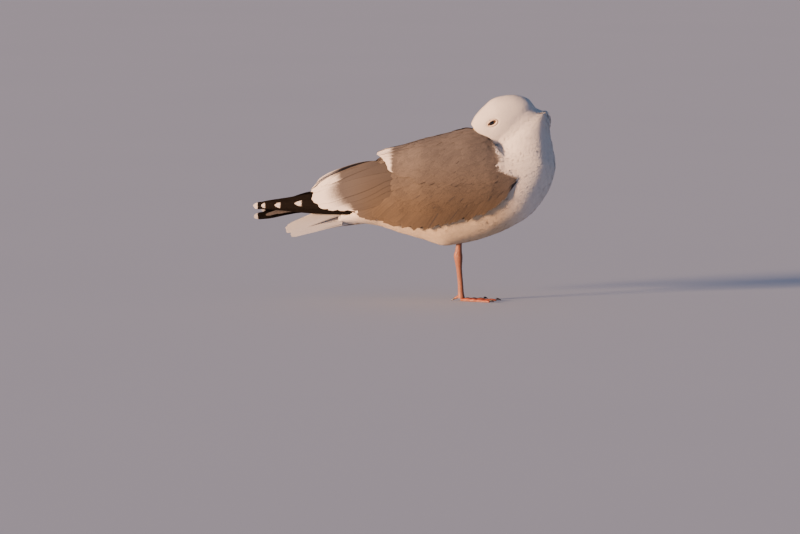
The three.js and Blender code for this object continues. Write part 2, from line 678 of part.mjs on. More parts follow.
// Toes: [name, angle from straight ahead, length, phalanges]. The bird's right foot.
const TOES = [
  ['inner', 33, MIDDLE_TOE * 0.78, 3],
  ['middle', 2, MIDDLE_TOE, 3],
  ['outer', -30, MIDDLE_TOE * 0.93, 4],
];
const TOE_WIDTH = 6.4;
const SOLE_FLAT = 1.1; // how much of each toe's pads is flattened on the floor

const toeWay = (degrees) => {
  const angle = THREE.MathUtils.degToRad(degrees);
  return V(Math.cos(angle), Math.sin(angle), 0);
};

// A toe with a low pad at each joint.
function toe([, degrees, length, joints], grow = 0) {
  const way = toeWay(degrees);
  const stations = [];
  const count = joints * 2 + 1;
  for (let i = 0; i <= count; i++) {
    const share = i / count;
    const swell = i % 2 === 0 ? 1 : 0.84;
    const size = mix(TOE_WIDTH + 1, TOE_WIDTH - 1.8, share) * swell;
    const place = FOOT.clone().addScaledVector(way, 1 + (length - 1) * share);
    stations.push([place.x, place.y, size / 2 - SOLE_FLAT + 0.1, size * 0.92, size]);
  }
  return limb(stations, { around: 6, steps: count + 1, grow, domes: [2, 1.5] });
}

function claw([, degrees, length], grow = 0) {
  const way = toeWay(degrees);
  const stations = [[0, 3.1, 3.6], [3, 3.2, 3], [6, 2.3, 1.9], [8.2, 1.0, 0.8]].map(([on, height, size]) => {
    const place = FOOT.clone().addScaledVector(way, length + on);
    return [place.x, place.y, height, size, size * 0.8];
  });
  return limb(stations, { around: 6, steps: 4, grow, domes: [0.2, 0.4] });
}

// A web between two toes: a thin membrane whose free edge is hollowed.
function web([, from, fromLength], [, to, toLength]) {
  const [a, b] = [toeWay(from), toeWay(to)];
  const shape = new THREE.Shape();
  const edge = (way, length) => [FOOT.x + way.x * length, FOOT.y + way.y * length];
  const [ax, ay] = edge(a, fromLength * 0.97);
  const [bx, by] = edge(b, toLength * 0.97);
  const hollow = edge(toeWay((from + to) / 2), Math.min(fromLength, toLength) * 0.8);
  shape.moveTo(FOOT.x, FOOT.y);
  shape.lineTo(ax, ay);
  shape.quadraticCurveTo(hollow[0], hollow[1], bx, by);
  shape.closePath();
  const membrane = new THREE.ExtrudeGeometry(shape, { depth: 1.3, bevelEnabled: false, curveSegments: 6 });
  membrane.translate(0, 0, 0.2);
  return fromGeometry(membrane);
}

// The small hind toe leaves the shank above the sole, and only its claw reaches the floor.
function hallux(grow) {
  return limb([
    [FOOT.x - 1, FOOT.y + 2.4, 8.4, 5, 5],
    [FOOT.x - 6, FOOT.y + 3.8, 6, 4.4, 4],
    [FOOT.x - 9.8, FOOT.y + 4.8, 3.8, 3.6, 3.2],
  ], { around: 6, steps: 2, grow });
}

const standingShank = (grow) => limb(shankStations, { around: 12, steps: 12, grow }).add(hallux(grow));

function hindClaw() {
  return limb([
    [FOOT.x - 10.4, FOOT.y + 5, 3.5, 2.8, 2.4],
    [FOOT.x - 12.9, FOOT.y + 5.7, 2.2, 2.1, 1.8],
    [FOOT.x - 14.8, FOOT.y + 6.2, 0.5, 1.2, 1.1],
  ], { around: 6, steps: 3, domes: [0.2, 0.3] });
}

// Everything below the floor is taken off, so that the sole is flat.
function floorCutter() {
  const block = new THREE.BoxGeometry(300, 300, 40);
  block.translate(0, 0, -20);
  return fromGeometry(block);
}

function foot(grow = 0) {
  const knuckle = new THREE.SphereGeometry(1, 12, 8);
  knuckle.scale(6, 5.4, 5.4);
  knuckle.translate(FOOT.x + 1, FOOT.y, 4);
  return fuse([
    fromGeometry(knuckle, grow), ...TOES.map((t) => toe(t, grow)),
    web(TOES[0], TOES[1]), web(TOES[1], TOES[2]),
  ]);
}

// The other leg is drawn up: its shank lies along the belly, left of the middle, half in the feathers.
const TUCK_ANGLE = THREE.MathUtils.degToRad(152); // round the torso from the back line
const TUCK_FROM = 0.3; // heel, as a share of the body ribs
const TUCK_TO = 0.47; // foot joint
const tuckPoint = (t, sink) => {
  const skin = skinPoint(bodyForm, t, TUCK_ANGLE, 2.15);
  const inner = skinPoint(bodyForm, t, TUCK_ANGLE, 2.15, -10);
  return skin.lerp(inner, sink / skin.distanceTo(inner));
};

function tuckedShank(grow) {
  const stations = [0, 0.12, 0.35, 0.65, 0.88, 1].map((s, i) => {
    const p = tuckPoint(mix(TUCK_FROM, TUCK_TO, s), 1.2);
    const depth = TARSUS_DEPTH + [4.4, 3, 0, 0, 1, 2][i];
    return [p.x, p.y, p.z, depth, TARSUS_WIDTH + (depth - TARSUS_DEPTH) * 0.6];
  });
  return limb(stations, { around: 8, steps: 7, grow, domes: [3, 2] });
}

// Its toes are closed together and point forward along the belly.
function tuckedToe(lane, length, grow) {
  const stations = [0, 0.25, 0.5, 0.75, 1].map((s) => {
    const p = tuckPoint(TUCK_TO + 0.018 + s * length, 0.6);
    const size = mix(6, 3.6, s);
    const aside = lane * mix(2.4, 4.2, s);
    return [p.x, p.y + aside, p.z + Math.max(0, aside) * 0.5, size, size];
  });
  return limb(stations, { around: 7, steps: 4, grow, domes: [2, 1.4] });
}
const TUCKED_TOES = [[-1, 0.1], [0, 0.125], [1, 0.115]];

function tuckedFoot(grow) {
  return fuse(TUCKED_TOES.map(([lane, length]) => tuckedToe(lane, length, grow)));
}

function tuckedClaw([lane, length], grow = 0) {
  const stations = [[0.006, 2.6], [0.014, 2.2], [0.024, 0.9]].map(([on, size]) => {
    const p = tuckPoint(TUCK_TO + 0.018 + length + on, 0);
    const aside = lane * 4.2;
    return [p.x, p.y + aside, p.z + Math.max(0, aside) * 0.5, size, size * 0.8];
  });
  return limb(stations, { around: 6, steps: 3, grow, domes: [0.2, 0.3] });
}

// ---------- nodes ----------

const finish = (color, roughness) => new THREE.MeshStandardMaterial({ color, roughness, metalness: 0 });
const white = () => finish(0xf2eeea, 0.85);
const pearlGrey = () => finish(0xa3a3a8, 0.8);
const black = () => finish(0x171414, 0.6);
const pinkSkin = () => finish(0xd9927c, 0.55);
const horn = () => finish(0x2b2422, 0.4);
const billYellow = () => finish(0xe3b23c, 0.4);
const dark = () => finish(0x20140e, 0.1);

const gull = new THREE.Group();

function addNode(name, whole, material) {
  const kept = largest(whole);
  const { vertProperties, triVerts, numProp } = kept.getMesh();
  const geometry = new THREE.BufferGeometry();
  const position = new Float32Array((vertProperties.length / numProp) * 3);
  for (let i = 0; i < position.length / 3; i++) {
    position.set(vertProperties.subarray(i * numProp, i * numProp + 3), i * 3);
  }
  geometry.setAttribute('position', new THREE.BufferAttribute(position, 3));
  geometry.setIndex(new THREE.BufferAttribute(new Uint32Array(triVerts), 1));
  geometry.computeVertexNormals();
  const mesh = new THREE.Mesh(geometry, material);
  mesh.name = name;
  gull.add(mesh);
}

const right = (whole) => whole;
const left = (whole) => whole.mirror([0, 1, 0]);

const body = bodyLoft(0);
const bodyClear = bodyLoft(GAP);
const headClear = headLoft(GAP);
const billClear = upperBill(GAP).add(lowerBill(GAP));
const billRoom = billPocket();
const shankClear = standingShank(GAP);
const tuckedClear = fuse([
  tuckedShank(GAP), tuckedFoot(GAP), ...TUCKED_TOES.map((t) => tuckedClaw(t, GAP)),
]);

// The plane between torso and neck holds a rib, and each side gives up half the clearance.
const neckRib = bodyForm(NECK_AT);
const neckMiddle = neckRib.top.clone().lerp(neckRib.bottom, 0.5);
const neckAcross = neckRib.top.clone().sub(neckRib.bottom).normalize();
const neckWay = V(neckAcross.z, 0, -neckAcross.x);
if (neckWay.z < 0) neckWay.negate();
const neckOffset = neckMiddle.dot(neckWay);
const aboveNeck = (whole) => whole.trimByPlane(neckWay.toArray(), neckOffset + GAP / 2);
const belowNeck = (whole) => whole.trimByPlane(neckWay.clone().negate().toArray(), -neckOffset + GAP / 2);

addNode('torso', cutBy(belowNeck(body), [headClear, billRoom, shankClear, tuckedClear]), white());
addNode('neck', cutBy(aboveNeck(body), [headClear]), white());

const eyesClear = [-1, 1].map((side) => eyeball(side, GAP));
const slits = [-1, 1].map(lidSlit);
const skull = cutBy(fuse([headLoft(0), lidRim(-1), lidRim(1)]), [billClear, ...slits, ...eyesClear]);
addNode('head', skull, white());
addNode('eye_right', eyeball(-1, 0), dark());
addNode('eye_left', eyeball(1, 0), dark());
addNode('bill_upper', cutBy(upperBill(0), [nostrils(), lowerBill(GAP)]), billYellow());
addNode('bill_lower', lowerBill(0), billYellow());

const tail = tailFan(0);
for (const [name, toSide, droop] of [['right', right, 0], ['left', left, 16]]) {
  const wing = cutBy(fuse([wingCore(0), ...wingFeathers(0)]), [
    toSide(bodyClear), toSide(headClear),
  ]);
  const wingClear = fuse([wingCore(GAP), ...wingFeathers(GAP)]);
  const blade = cutBy(primaryFan(droop, 0), [wingClear, toSide(bodyClear), toSide(tailFan(GAP))]);
  const scapulars = cutBy(fuse([scapularCore(0), ...scapularFeathers(0)]), [
    wingClear, toSide(bodyClear), toSide(headClear), toSide(billRoom),
  ]);
  addNode(`wing_${name}`, toSide(wing), pearlGrey());
  addNode(`primaries_${name}`, toSide(blade), black());
  addNode(`scapulars_${name}`, toSide(scapulars), pearlGrey());
}
addNode('tail', cutBy(tail, [bodyClear]), white());

const floor = floorCutter();
const standingFoot = cutBy(foot(), [floor, shankClear]);
addNode('leg_right_shank', cutBy(standingShank(0), [floor]), pinkSkin());
addNode('leg_right_foot', standingFoot, pinkSkin());
TOES.forEach((t) => addNode(`claw_right_${t[0]}`, cutBy(claw(t), [floor, toe(t, GAP)]), horn()));
addNode('claw_right_hind', cutBy(hindClaw(), [floor, hallux(GAP)]), horn());
addNode('leg_left_shank', tuckedShank(0), pinkSkin());
addNode('leg_left_foot', cutBy(tuckedFoot(0), [tuckedShank(GAP)]), pinkSkin());
['inner', 'middle', 'outer'].forEach((name, i) =>
  addNode(`claw_left_${name}`, cutBy(tuckedClaw(TUCKED_TOES[i]), [tuckedFoot(GAP)]), horn()));

export default gull;
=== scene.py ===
# %% [markdown]
# # A herring gull asleep on one leg
#
# A life-size adult gull that stands on its right leg. Its head is turned right round and the bill is tucked
# between the shoulder feathers. The hard shapes come from a solid model, which is loaded first and never
# moved. One skin is then lofted inside those solids, and feathers are laid over it as thin closed vanes.
# All working numbers are millimetres, with X the way the breast faces, Y the bird's left and Z up, and
# every mesh is written in metres.

# %% Open the solid model
import json
import math

import bmesh
import bpy
import numpy as np
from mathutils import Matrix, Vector
from mathutils.bvhtree import BVHTree
from mathutils.kdtree import KDTree

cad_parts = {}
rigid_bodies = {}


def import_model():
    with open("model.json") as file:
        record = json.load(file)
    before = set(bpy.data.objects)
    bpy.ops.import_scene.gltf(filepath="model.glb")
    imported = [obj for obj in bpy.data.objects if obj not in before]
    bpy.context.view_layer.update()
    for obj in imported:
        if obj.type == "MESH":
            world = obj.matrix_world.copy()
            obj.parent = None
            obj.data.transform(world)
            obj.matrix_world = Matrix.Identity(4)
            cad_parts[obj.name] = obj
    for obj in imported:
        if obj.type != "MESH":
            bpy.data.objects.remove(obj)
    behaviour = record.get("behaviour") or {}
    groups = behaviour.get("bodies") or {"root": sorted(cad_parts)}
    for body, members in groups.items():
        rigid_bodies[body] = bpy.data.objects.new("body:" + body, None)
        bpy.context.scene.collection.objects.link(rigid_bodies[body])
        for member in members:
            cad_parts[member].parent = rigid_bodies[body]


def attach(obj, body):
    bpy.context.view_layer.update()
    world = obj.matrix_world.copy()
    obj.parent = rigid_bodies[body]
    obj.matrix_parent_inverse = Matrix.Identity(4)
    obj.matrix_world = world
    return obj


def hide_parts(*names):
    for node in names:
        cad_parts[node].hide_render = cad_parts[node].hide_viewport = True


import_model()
bpy.context.view_layer.update()
MM = 0.001
FULL_TURN = 2 * math.pi
random = np.random.default_rng(7)


def put_in_scene(name, data):
    made = bpy.data.objects.new(name, data)
    bpy.context.scene.collection.objects.link(made)
    return made


# %% [markdown]
# ## Shader sums
#
# A finish is a tree of nodes, and writing the tree as sums keeps it readable. A `Link` wraps one output
# socket: adding or multiplying it adds the Math node that does so. A `Finish` is one material, and its
# `node` method adds any other node, settings first and inputs after.


# %% Links between shader nodes
class Link:
    """One output of a shader node. A sum with it adds the Math node that works it out."""

    def __init__(self, finish, socket):
        self.finish = finish
        self.socket = socket

    def math(self, operation, *others):
        return self.finish.sum(operation, self, *others)

    def __add__(self, other):
        return self.math("ADD", other)

    def __sub__(self, other):
        return self.math("SUBTRACT", other)

    def __rsub__(self, other):
        return self.finish.sum("SUBTRACT", other, self)

    def __mul__(self, other):
        return self.math("MULTIPLY", other)

    __radd__ = __add__
    __rmul__ = __mul__


# %% Finishes
class Finish:
    """A material in the making. The Principled shader's plain numbers are given by name."""

    def __init__(self, name, **plain):
        self.material = bpy.data.materials.new(name)
        self.material.use_nodes = True
        self.tree = self.material.node_tree
        self.shader = self.tree.nodes["Principled BSDF"]
        for socket, value in plain.items():
            self.shader.inputs[socket.replace("_", " ")].default_value = value

    def node(self, kind, settings=None, inputs=(), out=0):
        node = self.tree.nodes.new(kind)
        for name, value in (settings or {}).items():
            setattr(node, name, value)
        for key, value in inputs.items() if isinstance(inputs, dict) else enumerate(inputs):
            self.feed(node.inputs[key], value)
        return Link(self, node.outputs[out])

    def feed(self, socket, value):
        if isinstance(value, Link):
            self.tree.links.new(value.socket, socket)
        else:
            socket.default_value = value

    def sum(self, operation, *values):
        return self.node("ShaderNodeMath", {"operation": operation}, values)

    def mix(self, first, second, share, blend="MIX"):
        settings = {"data_type": "RGBA", "clamp_factor": True, "blend_type": blend}
        return self.node("ShaderNodeMix", settings, {0: share, 6: first, 7: second}, out=2)

    def axis(self, vector, number):
        return self.node("ShaderNodeSeparateXYZ", None, [vector], out=number)

    def step(self, value, low, high):
        settings = {"interpolation_type": "SMOOTHSTEP"}
        return self.node("ShaderNodeMapRange", settings, {0: value, 1: low, 2: high})

    def noise(self, place, scale, detail=2.0):
        return self.node("ShaderNodeTexNoise", None, {"Vector": place, "Scale": scale, "Detail": detail})

    def each(self, name):
        """A number stored on the mesh, the same all over one feather."""
        return self.node("ShaderNodeAttribute", {"attribute_name": name}, out=2)

    def place(self, layer=None):
        if layer:
            return self.node("ShaderNodeUVMap", {"uv_map": layer})
        return self.node("ShaderNodeTexCoord", out=3)

    def finished(self, colour, height=None, depth=0.0002, strength=0.6):
        """Gives the shader its colour, and a relief from a height whose depth is in metres."""
        self.feed(self.shader.inputs["Base Color"], colour)
        if height is not None:
            relief = {"Strength": strength, "Distance": depth, "Height": height}
            self.feed(self.shader.inputs["Normal"], self.node("ShaderNodeBump", None, relief))
        print("finish:", self.material.name, "with", len(self.tree.nodes), "nodes")
        return self.material


def rgb(red, green, blue):
    return (red, green, blue, 1.0)


# %% [markdown]
# ## Finishes of the plumage
#
# A gull's feather is matt, with fine barbs that slant from the shaft to the edge, so the colour shifts a
# little from feather to feather and the barbs show as a faint relief. White feathers, pearl grey ones and
# black ones differ only in colour, so one function makes them all. It reads the map named Vane, which runs
# across and along each feather, and numbers stored on each feather: its tint, the share of it that is a
# white tip, how clearly its shaft shows and how pale its edge is. Low on the body the flanks, the belly and
# the wings' lower parts get a faint ochre wash of painted warm light, and the grey turns white where it
# meets the breast, since there the two kinds of feathers mix.


# %% Painted warm light low on the body, and the white front of the shoulder
TIP_WHITE = rgb(0.80, 0.775, 0.745)
PAINTED_WARM_LIGHT = rgb(0.84, 0.68, 0.47)


def painted_warm_light_share(finish, x, z):
    """A painted warm light that grows downwards from 250 mm, and fades towards the breast and the tail."""
    low, behind = finish.step(0.25 - z, 0.0, 0.11), finish.step(0.12 - x, 0.0, 0.07)
    return low * behind * finish.step(x, -0.2, -0.13)


def front_share(finish, x, z, hair):
    """White from the shoulder's front edge on: a frayed line that leans back above and forward below."""
    above = (z - 0.232).math("MAXIMUM", 0.0) * 0.3
    below = (0.212 - z).math("MAXIMUM", 0.0) * 2.4
    return finish.step(x + above - below + (hair - 0.5) * 0.02, 0.055, 0.070)


# %% The marks on one feather
CLOUDS_PER_METRE, GRAINS_PER_METRE = 30.0, 420.0


def shaft_share(finish, along, across):
    """A thin line down the middle that ends before the tip."""
    return finish.step(1.0 - across, 0.93, 0.985) * finish.step(1.0 - along, 0.1, 0.4)


def tip_share(finish, along, tip, fine, blur):
    """White over the last share of a feather, with an edge frayed by the fine grain."""
    start = 1.0 - tip
    edge = along + (fine - 0.5) * tip * 0.5
    return finish.step(edge, start - tip * blur, start + tip * 0.1) * finish.step(tip, 0.0, 0.02)


def painted_gap_shadow_share(finish, along, side, fine):
    """A painted shadow along one edge, as falls in a parting where the barbs have come apart."""
    return finish.step(side * 2.0 + fine * 0.1, 0.8, 0.96) * finish.step(along, 0.25, 0.4)


# %% One function for every feather's finish
def plumage(name, base, shade, root, barbs=40.0, roughness=0.75, sheen=0.2, blur=0.7, streaks=0.5,
            shine=0.25, rim_from=0.95, pale_front=False):
    finish = Finish(name, Roughness=roughness, Sheen_Weight=sheen, Sheen_Roughness=0.6,
                    Specular_IOR_Level=shine)
    place = finish.place("Vane")
    side = finish.axis(place, 0) - 0.5
    across = side.math("ABSOLUTE") * 2.0
    along = finish.axis(place, 1)
    tint, tip = finish.each("tint"), finish.each("tip")
    broad = finish.noise(finish.place(), CLOUDS_PER_METRE, 3.0)
    fine = finish.noise(finish.place(), GRAINS_PER_METRE)
    drawn_out = finish.node("ShaderNodeCombineXYZ", None, [side * 9.0, along * 1.1, tint * 23.0])
    hair = finish.noise(drawn_out, 1.0, 4.0)
    tone = broad * 0.4 + tint * 0.25 + hair * streaks + fine * 0.15
    colour = finish.mix(base, shade, finish.step(tone, 0.25 + streaks * 0.2, 0.75 + streaks * 0.6))
    colour = finish.mix(colour, root, finish.step(1.0 - along, 0.45, 1.0) * 0.6)
    shaft = shaft_share(finish, along, across)
    colour = finish.mix(colour, root, shaft * finish.each("shaft"))
    rim = finish.step(across + fine * 0.1, 0.86, 1.0) + finish.step(along + fine * 0.02, rim_from, 1.0)
    colour = finish.mix(colour, TIP_WHITE, rim * finish.each("fringe"))
    colour = finish.mix(colour, TIP_WHITE, tip_share(finish, along, tip, fine, blur))
    x, z = finish.axis(finish.place(), 0), finish.axis(finish.place(), 2)
    # Painted warm light: an ochre wash multiplied over the lower body's feathers.
    colour = finish.mix(colour, PAINTED_WARM_LIGHT, painted_warm_light_share(finish, x, z), blend="MULTIPLY")
    if pale_front:
        colour = finish.mix(colour, TIP_WHITE, front_share(finish, x, z, hair))
    # Painted shadow: a dark line along one edge of a few feathers, where a gap between them would be shaded.
    colour = finish.mix(colour, root, painted_gap_shadow_share(finish, along, side, fine) * finish.each("nick"))
    barb = ((along * barbs - across * (barbs * 0.22)) * FULL_TURN).math("SINE")
    return finish.finished(colour, height=barb * 0.5 + fine * 1.4 + shaft * 1.5, depth=0.00018)


# %% White, grey and black plumage
white_plumage = plumage("white plumage", rgb(0.80, 0.785, 0.765), rgb(0.72, 0.71, 0.70),
                        rgb(0.62, 0.61, 0.60))
grey_plumage = plumage("pearl grey plumage", rgb(0.15, 0.133, 0.124), rgb(0.092, 0.084, 0.084),
                       rgb(0.045, 0.041, 0.042), barbs=60.0, sheen=0.05, blur=1.3, streaks=0.8,
                       pale_front=True)
black_plumage = plumage("black plumage", rgb(0.004, 0.003, 0.0025), rgb(0.008, 0.006, 0.005),
                        rgb(0.002, 0.0015, 0.0015), barbs=90.0, roughness=0.6, sheen=0.0, blur=0.15,
                        shine=0.06, rim_from=0.985)

# %% [markdown]
# ## Curves and lofts
#
# The solids were lofted through rows of ribs on centripetal splines, which never overshoot. The same curves
# are worked out here on whole arrays at once, so that the fine skin and feathers lie where the solids are.


# %% Small sums on whole arrays
def unit(vectors):
    return vectors / np.maximum(np.linalg.norm(vectors, axis=-1, keepdims=True), 1e-9)


def mix(a, b, share):
    return a + (b - a) * share


def crossed(first, second):
    """Every pair of a first and a second value, as two arrays."""
    return np.meshgrid(first, second, indexing="ij")


def round_grid(steps, around):
    """Places from 0 to 1 along something round, and angles round it."""
    return crossed(np.linspace(0, 1, steps), np.arange(around) * FULL_TURN / around)


def smoothstep(value, low, high):
    share = np.clip((value - low) / (high - low), 0, 1)
    return share * share * (3 - 2 * share)


# %% Splines through points
def through(points):
    """A centripetal spline through the points, for any array of places from 0 to 1."""
    p = np.asarray(points, float)
    p = np.vstack([2 * p[0] - p[1], p, 2 * p[-1] - p[-2]])

    def at(t):
        t = np.clip(np.asarray(t, float), 0, 1) * (len(p) - 3)
        i = np.minimum(t.astype(int), len(p) - 4)
        w = (t - i)[..., None]
        a, b, c, d = (p[i + k] for k in range(4))
        gaps = (b - a, c - b, d - c)
        da, db, dc = (np.sqrt(np.linalg.norm(gap, axis=-1, keepdims=True)) for gap in gaps)
        start = ((b - a) / da - (c - a) / (da + db) + (c - b) / db) * db
        end = ((c - b) / db - (d - b) / (db + dc) + (d - c) / dc) * db
        return b + start * w + (3 * (c - b) - 2 * start - end) * w**2 + (2 * (b - c) + start + end) * w**3

    return at


def smooth_values(values):
    line = through(np.c_[np.arange(len(values)), values])
    return lambda t: line(t)[..., 1]


# %% Lofts over ribs
def ribbed(ribs, squareness=2.15):
    """A loft over ribs of [top x, z, bottom x, z, half width], with angle 0 on its top line."""
    ribs = np.asarray(ribs, float)
    zero = np.zeros(len(ribs))
    top = through(np.c_[ribs[:, 0], zero, ribs[:, 1]])
    bottom = through(np.c_[ribs[:, 2], zero, ribs[:, 3]])
    half = smooth_values(ribs[:, 4])
    power = 2 / squareness

    def skin(t, angle, out=0.0):
        t, angle = np.broadcast_arrays(t, angle)
        middle = (top(t) + bottom(t)) / 2
        up = top(t) - middle
        along = np.sign(np.cos(angle)) * np.abs(np.cos(angle)) ** power
        aside = np.sign(np.sin(angle)) * np.abs(np.sin(angle)) ** power
        place = middle + (up + unit(up) * out) * along[..., None]
        place[..., 1] += (half(t) + out) * aside
        return place

    return skin


# %% Torso, neck and head as lofts
BODY_RIBS = [
    [-196, 143, -196, 127, 19], [-172, 151, -168, 125, 27], [-140, 186, -132, 121, 39],
    [-110, 216, -96, 109, 48], [-85, 236, -60, 99, 54], [-53, 250, -26, 89, 57], [-21, 261, 8, 94, 58],
    [8, 267, 43, 103, 58], [30, 263, 78, 118, 57], [45, 257, 110, 138, 55], [55, 253, 136, 170, 52],
    [60, 254, 151, 213, 48], [63, 261, 147, 245, 43], [67, 270, 142, 270, 39], [76, 286, 141, 292, 33],
    [96, 303, 138, 304, 23],
]
HEAD_RIBS = [
    [116, 314, 117, 290, 17], [105, 325, 108, 273, 26], [86, 330, 91, 262, 30.5], [67, 329, 75, 254, 31.5],
    [50, 324, 58, 250, 29.5], [35, 312, 44, 251, 25], [23, 299, 33, 256, 19.5], [15, 285, 24, 262, 13.5],
]
NAPE = np.array([108.0, 0, 300])
HEAD_YAW = math.radians(7)
body_skin = ribbed(BODY_RIBS)
plain_head = ribbed(HEAD_RIBS)


def turned_at_nape(points, yaw):
    cos, sin = math.cos(yaw), math.sin(yaw)
    x, y, z = np.moveaxis(np.asarray(points, float) - NAPE, -1, 0)
    return np.stack([x * cos - y * sin, x * sin + y * cos, z], -1) + NAPE


def in_head(points):
    """Turns points from the head's own straight frame to where the head lies."""
    return turned_at_nape(points, HEAD_YAW)


def head_skin(t, angle):
    return in_head(plain_head(t, angle))


print("breast's half width:", round(float(body_skin(0.6, math.pi / 2)[1])), "mm")

# %% [markdown]
# ## From arrays to meshes
#
# Thousands of feathers are far too many for one bmesh call each. Instead the corners of every feather are
# worked out together and written to the mesh in one go. A piece is a list of parts, each with corners,
# four-sided faces, maps and stored numbers, all of the same layout.


# %% Reading, storing and joining
def read(collection, name, width, kind=float):
    """A property of every corner, edge or face of a mesh, as one array."""
    values = np.zeros(len(collection) * width, kind)
    collection.foreach_get(name, values)
    return values.reshape(-1, width) if width > 1 else values


def store(mesh, name, values):
    """One number for every corner of a mesh, which a finish can read by its name."""
    layer = mesh.attributes.new(name, "FLOAT", "POINT")
    layer.data.foreach_set("value", values.astype(np.float32))


def joined(parts):
    """The corners of all the parts, and their faces with the corners counted through."""
    starts = np.cumsum([0] + [len(part["verts"]) for part in parts[:-1]])
    faces = np.concatenate([part["faces"] + start for part, start in zip(parts, starts)])
    return np.concatenate([part["verts"] for part in parts]), faces


def dressed(name, mesh, finish, replaced):
    """The gull's piece made from a mesh, which stays with the root and may replace solid parts."""
    mesh.materials.append(finish)
    piece = put_in_scene(name, mesh)
    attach(piece, "root")
    if replaced:
        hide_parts(*replaced)
    print(name, "triangles:", len(mesh.loops) - 2 * len(mesh.polygons))
    return piece


# %% Meshes from arrays
def mesh_piece(name, parts, finish, replaced=()):
    """One object from parts, each a dict of verts, faces, vane, patch and each-feather numbers."""
    verts, faces = joined(parts)
    mesh = bpy.data.meshes.new(name)
    mesh.vertices.add(len(verts))
    mesh.vertices.foreach_set("co", (verts * MM).astype(np.float32).ravel())
    mesh.loops.add(faces.size)
    mesh.loops.foreach_set("vertex_index", faces.astype(np.int32).ravel())
    mesh.polygons.add(len(faces))
    mesh.polygons.foreach_set("loop_start", np.arange(0, faces.size, faces.shape[1], dtype=np.int32))
    mesh.update(calc_edges=True)
    mesh.shade_smooth()
    for layer, key in (("OFBake", "patch"), ("Vane", "vane")):
        values = np.concatenate([part[key] for part in parts])[faces.ravel()]
        mesh.uv_layers.new(name=layer).data.foreach_set("uv", values.astype(np.float32).ravel())
    for key in ("tint", "tip", "shaft", "fringe", "nick"):
        every = [np.broadcast_to(part.get(key, 0.0), len(part["verts"])) for part in parts]
        store(mesh, key, np.concatenate(every))
    normals = np.concatenate([part["normals"] for part in parts])
    mesh.normals_split_custom_set(normals.reshape(-1, 3).astype(np.float32))
    dressed(name, mesh, finish, replaced)


# %% The layout of a vane
def vane_layout(nu, nv):
    """Places along and across, faces and inner corners of a closed vane whose two sides share a rim."""
    s, c = crossed(np.linspace(0, 1, nu + 1), np.linspace(-1, 1, nv + 1))
    top = np.arange((nu + 1) * (nv + 1)).reshape(nu + 1, nv + 1)
    under = top.copy()
    under[1:-1, 1:-1] = top.size + np.arange((nu - 1) * (nv - 1)).reshape(nu - 1, nv - 1)

    def quads(grid):
        return np.stack([grid[:-1, :-1], grid[1:, :-1], grid[1:, 1:], grid[:-1, 1:]], -1).reshape(-1, 4)

    inner = top[1:-1, 1:-1].ravel()
    return s, c, np.vstack([quads(top), quads(under)[:, ::-1]]), inner


# %% Vanes from grids of points
def close_vanes(points, normals, thick, numbers=None, patches=None, soft=0.7, reach=None):
    """Closed vanes from grids of points (feather, along, across, xyz) and the normals under them.

    Soft is how far the shading follows the body below instead of the vane itself, as loose barbs do.
    """
    count, nu, nv = points.shape[0], points.shape[1] - 1, points.shape[2] - 1
    s, c, faces, inner = vane_layout(nu, nv)
    source = np.concatenate([np.arange(s.size), inner])
    flat = points.reshape(count, -1, 3)
    under = flat[:, inner] - normals.reshape(count, -1, 3)[:, inner] * thick
    verts = np.concatenate([flat, under], 1)
    own = unit(np.cross(np.gradient(points, axis=1), np.gradient(points, axis=2)))
    own = own * np.sign((own * normals).sum(-1, keepdims=True))
    shade = unit(mix(own, normals, soft)).reshape(count, -1, 3)[:, source[faces]]
    shade[:, len(faces) // 2:] *= -1
    vane = np.stack([(c.ravel() + 1) / 2, s.ravel()], -1)[source]
    vanes = np.tile(vane, (count, 1))
    if reach is not None:
        vanes[:, 1] = reach.reshape(count, -1)[:, source].ravel()
    every = (faces[None] + (np.arange(count) * len(source))[:, None, None]).reshape(-1, 4)
    patches = grid_patches(count) if patches is None else patches
    patch = patches[:, None, :2] + vane[None] * patches[:, None, 2:]
    part = {"verts": verts.reshape(-1, 3), "faces": every, "vane": vanes,
            "patch": patch.reshape(-1, 2), "normals": shade.reshape(-1, 4, 3)}
    for key, value in (numbers or {}).items():
        part[key] = np.repeat(np.broadcast_to(value, count), len(source))
    return part


# %% Mirror images, and places on the map
def mirrored(part):
    """The same part on the bird's other side."""
    other = dict(part)
    other["verts"] = part["verts"] * [1, -1, 1]
    other["faces"] = part["faces"][:, ::-1]
    other["normals"] = part["normals"][:, ::-1] * [1, -1, 1]
    return other


def grid_patches(count):
    """A cell of a square grid for each of some large vanes: corner and size."""
    side = math.ceil(math.sqrt(count))
    k = np.arange(count)
    corner = np.stack([k % side, k // side], -1) / side
    return np.concatenate([corner + 0.04 / side, np.full((count, 2), 0.92 / side)], 1)


# %% [markdown]
# ## One skin under the coat
#
# Torso, neck and head were separate solids, but on the bird the skin runs on without a seam. Two fine lofts
# are joined, remeshed into one even surface and smoothed where the head meets the neck. The skin is then
# drawn in by the depth of the coat, less at the face and more on the belly, and it is dimpled round each
# eye to make room for the lids.


# %% Rings to closed surfaces
def ring_quads(near, far):
    """Faces between rings of corners and the rings that follow them."""
    return np.stack([near, np.roll(near, -1, 1), np.roll(far, -1, 1), far], -1).reshape(-1, 4).tolist()


def closed_faces(count, around):
    """Faces of a row of rings whose ends are closed by two more corners, counted last."""
    at = np.arange(count * around).reshape(count, around)
    turned = np.roll(at, -1, 1)
    first_cap = [[at.size, b, a] for a, b in zip(at[0], turned[0])]
    last_cap = [[at.size + 1, a, b] for a, b in zip(at[-1], turned[-1])]
    return ring_quads(at[:-1], at[1:]) + first_cap + last_cap


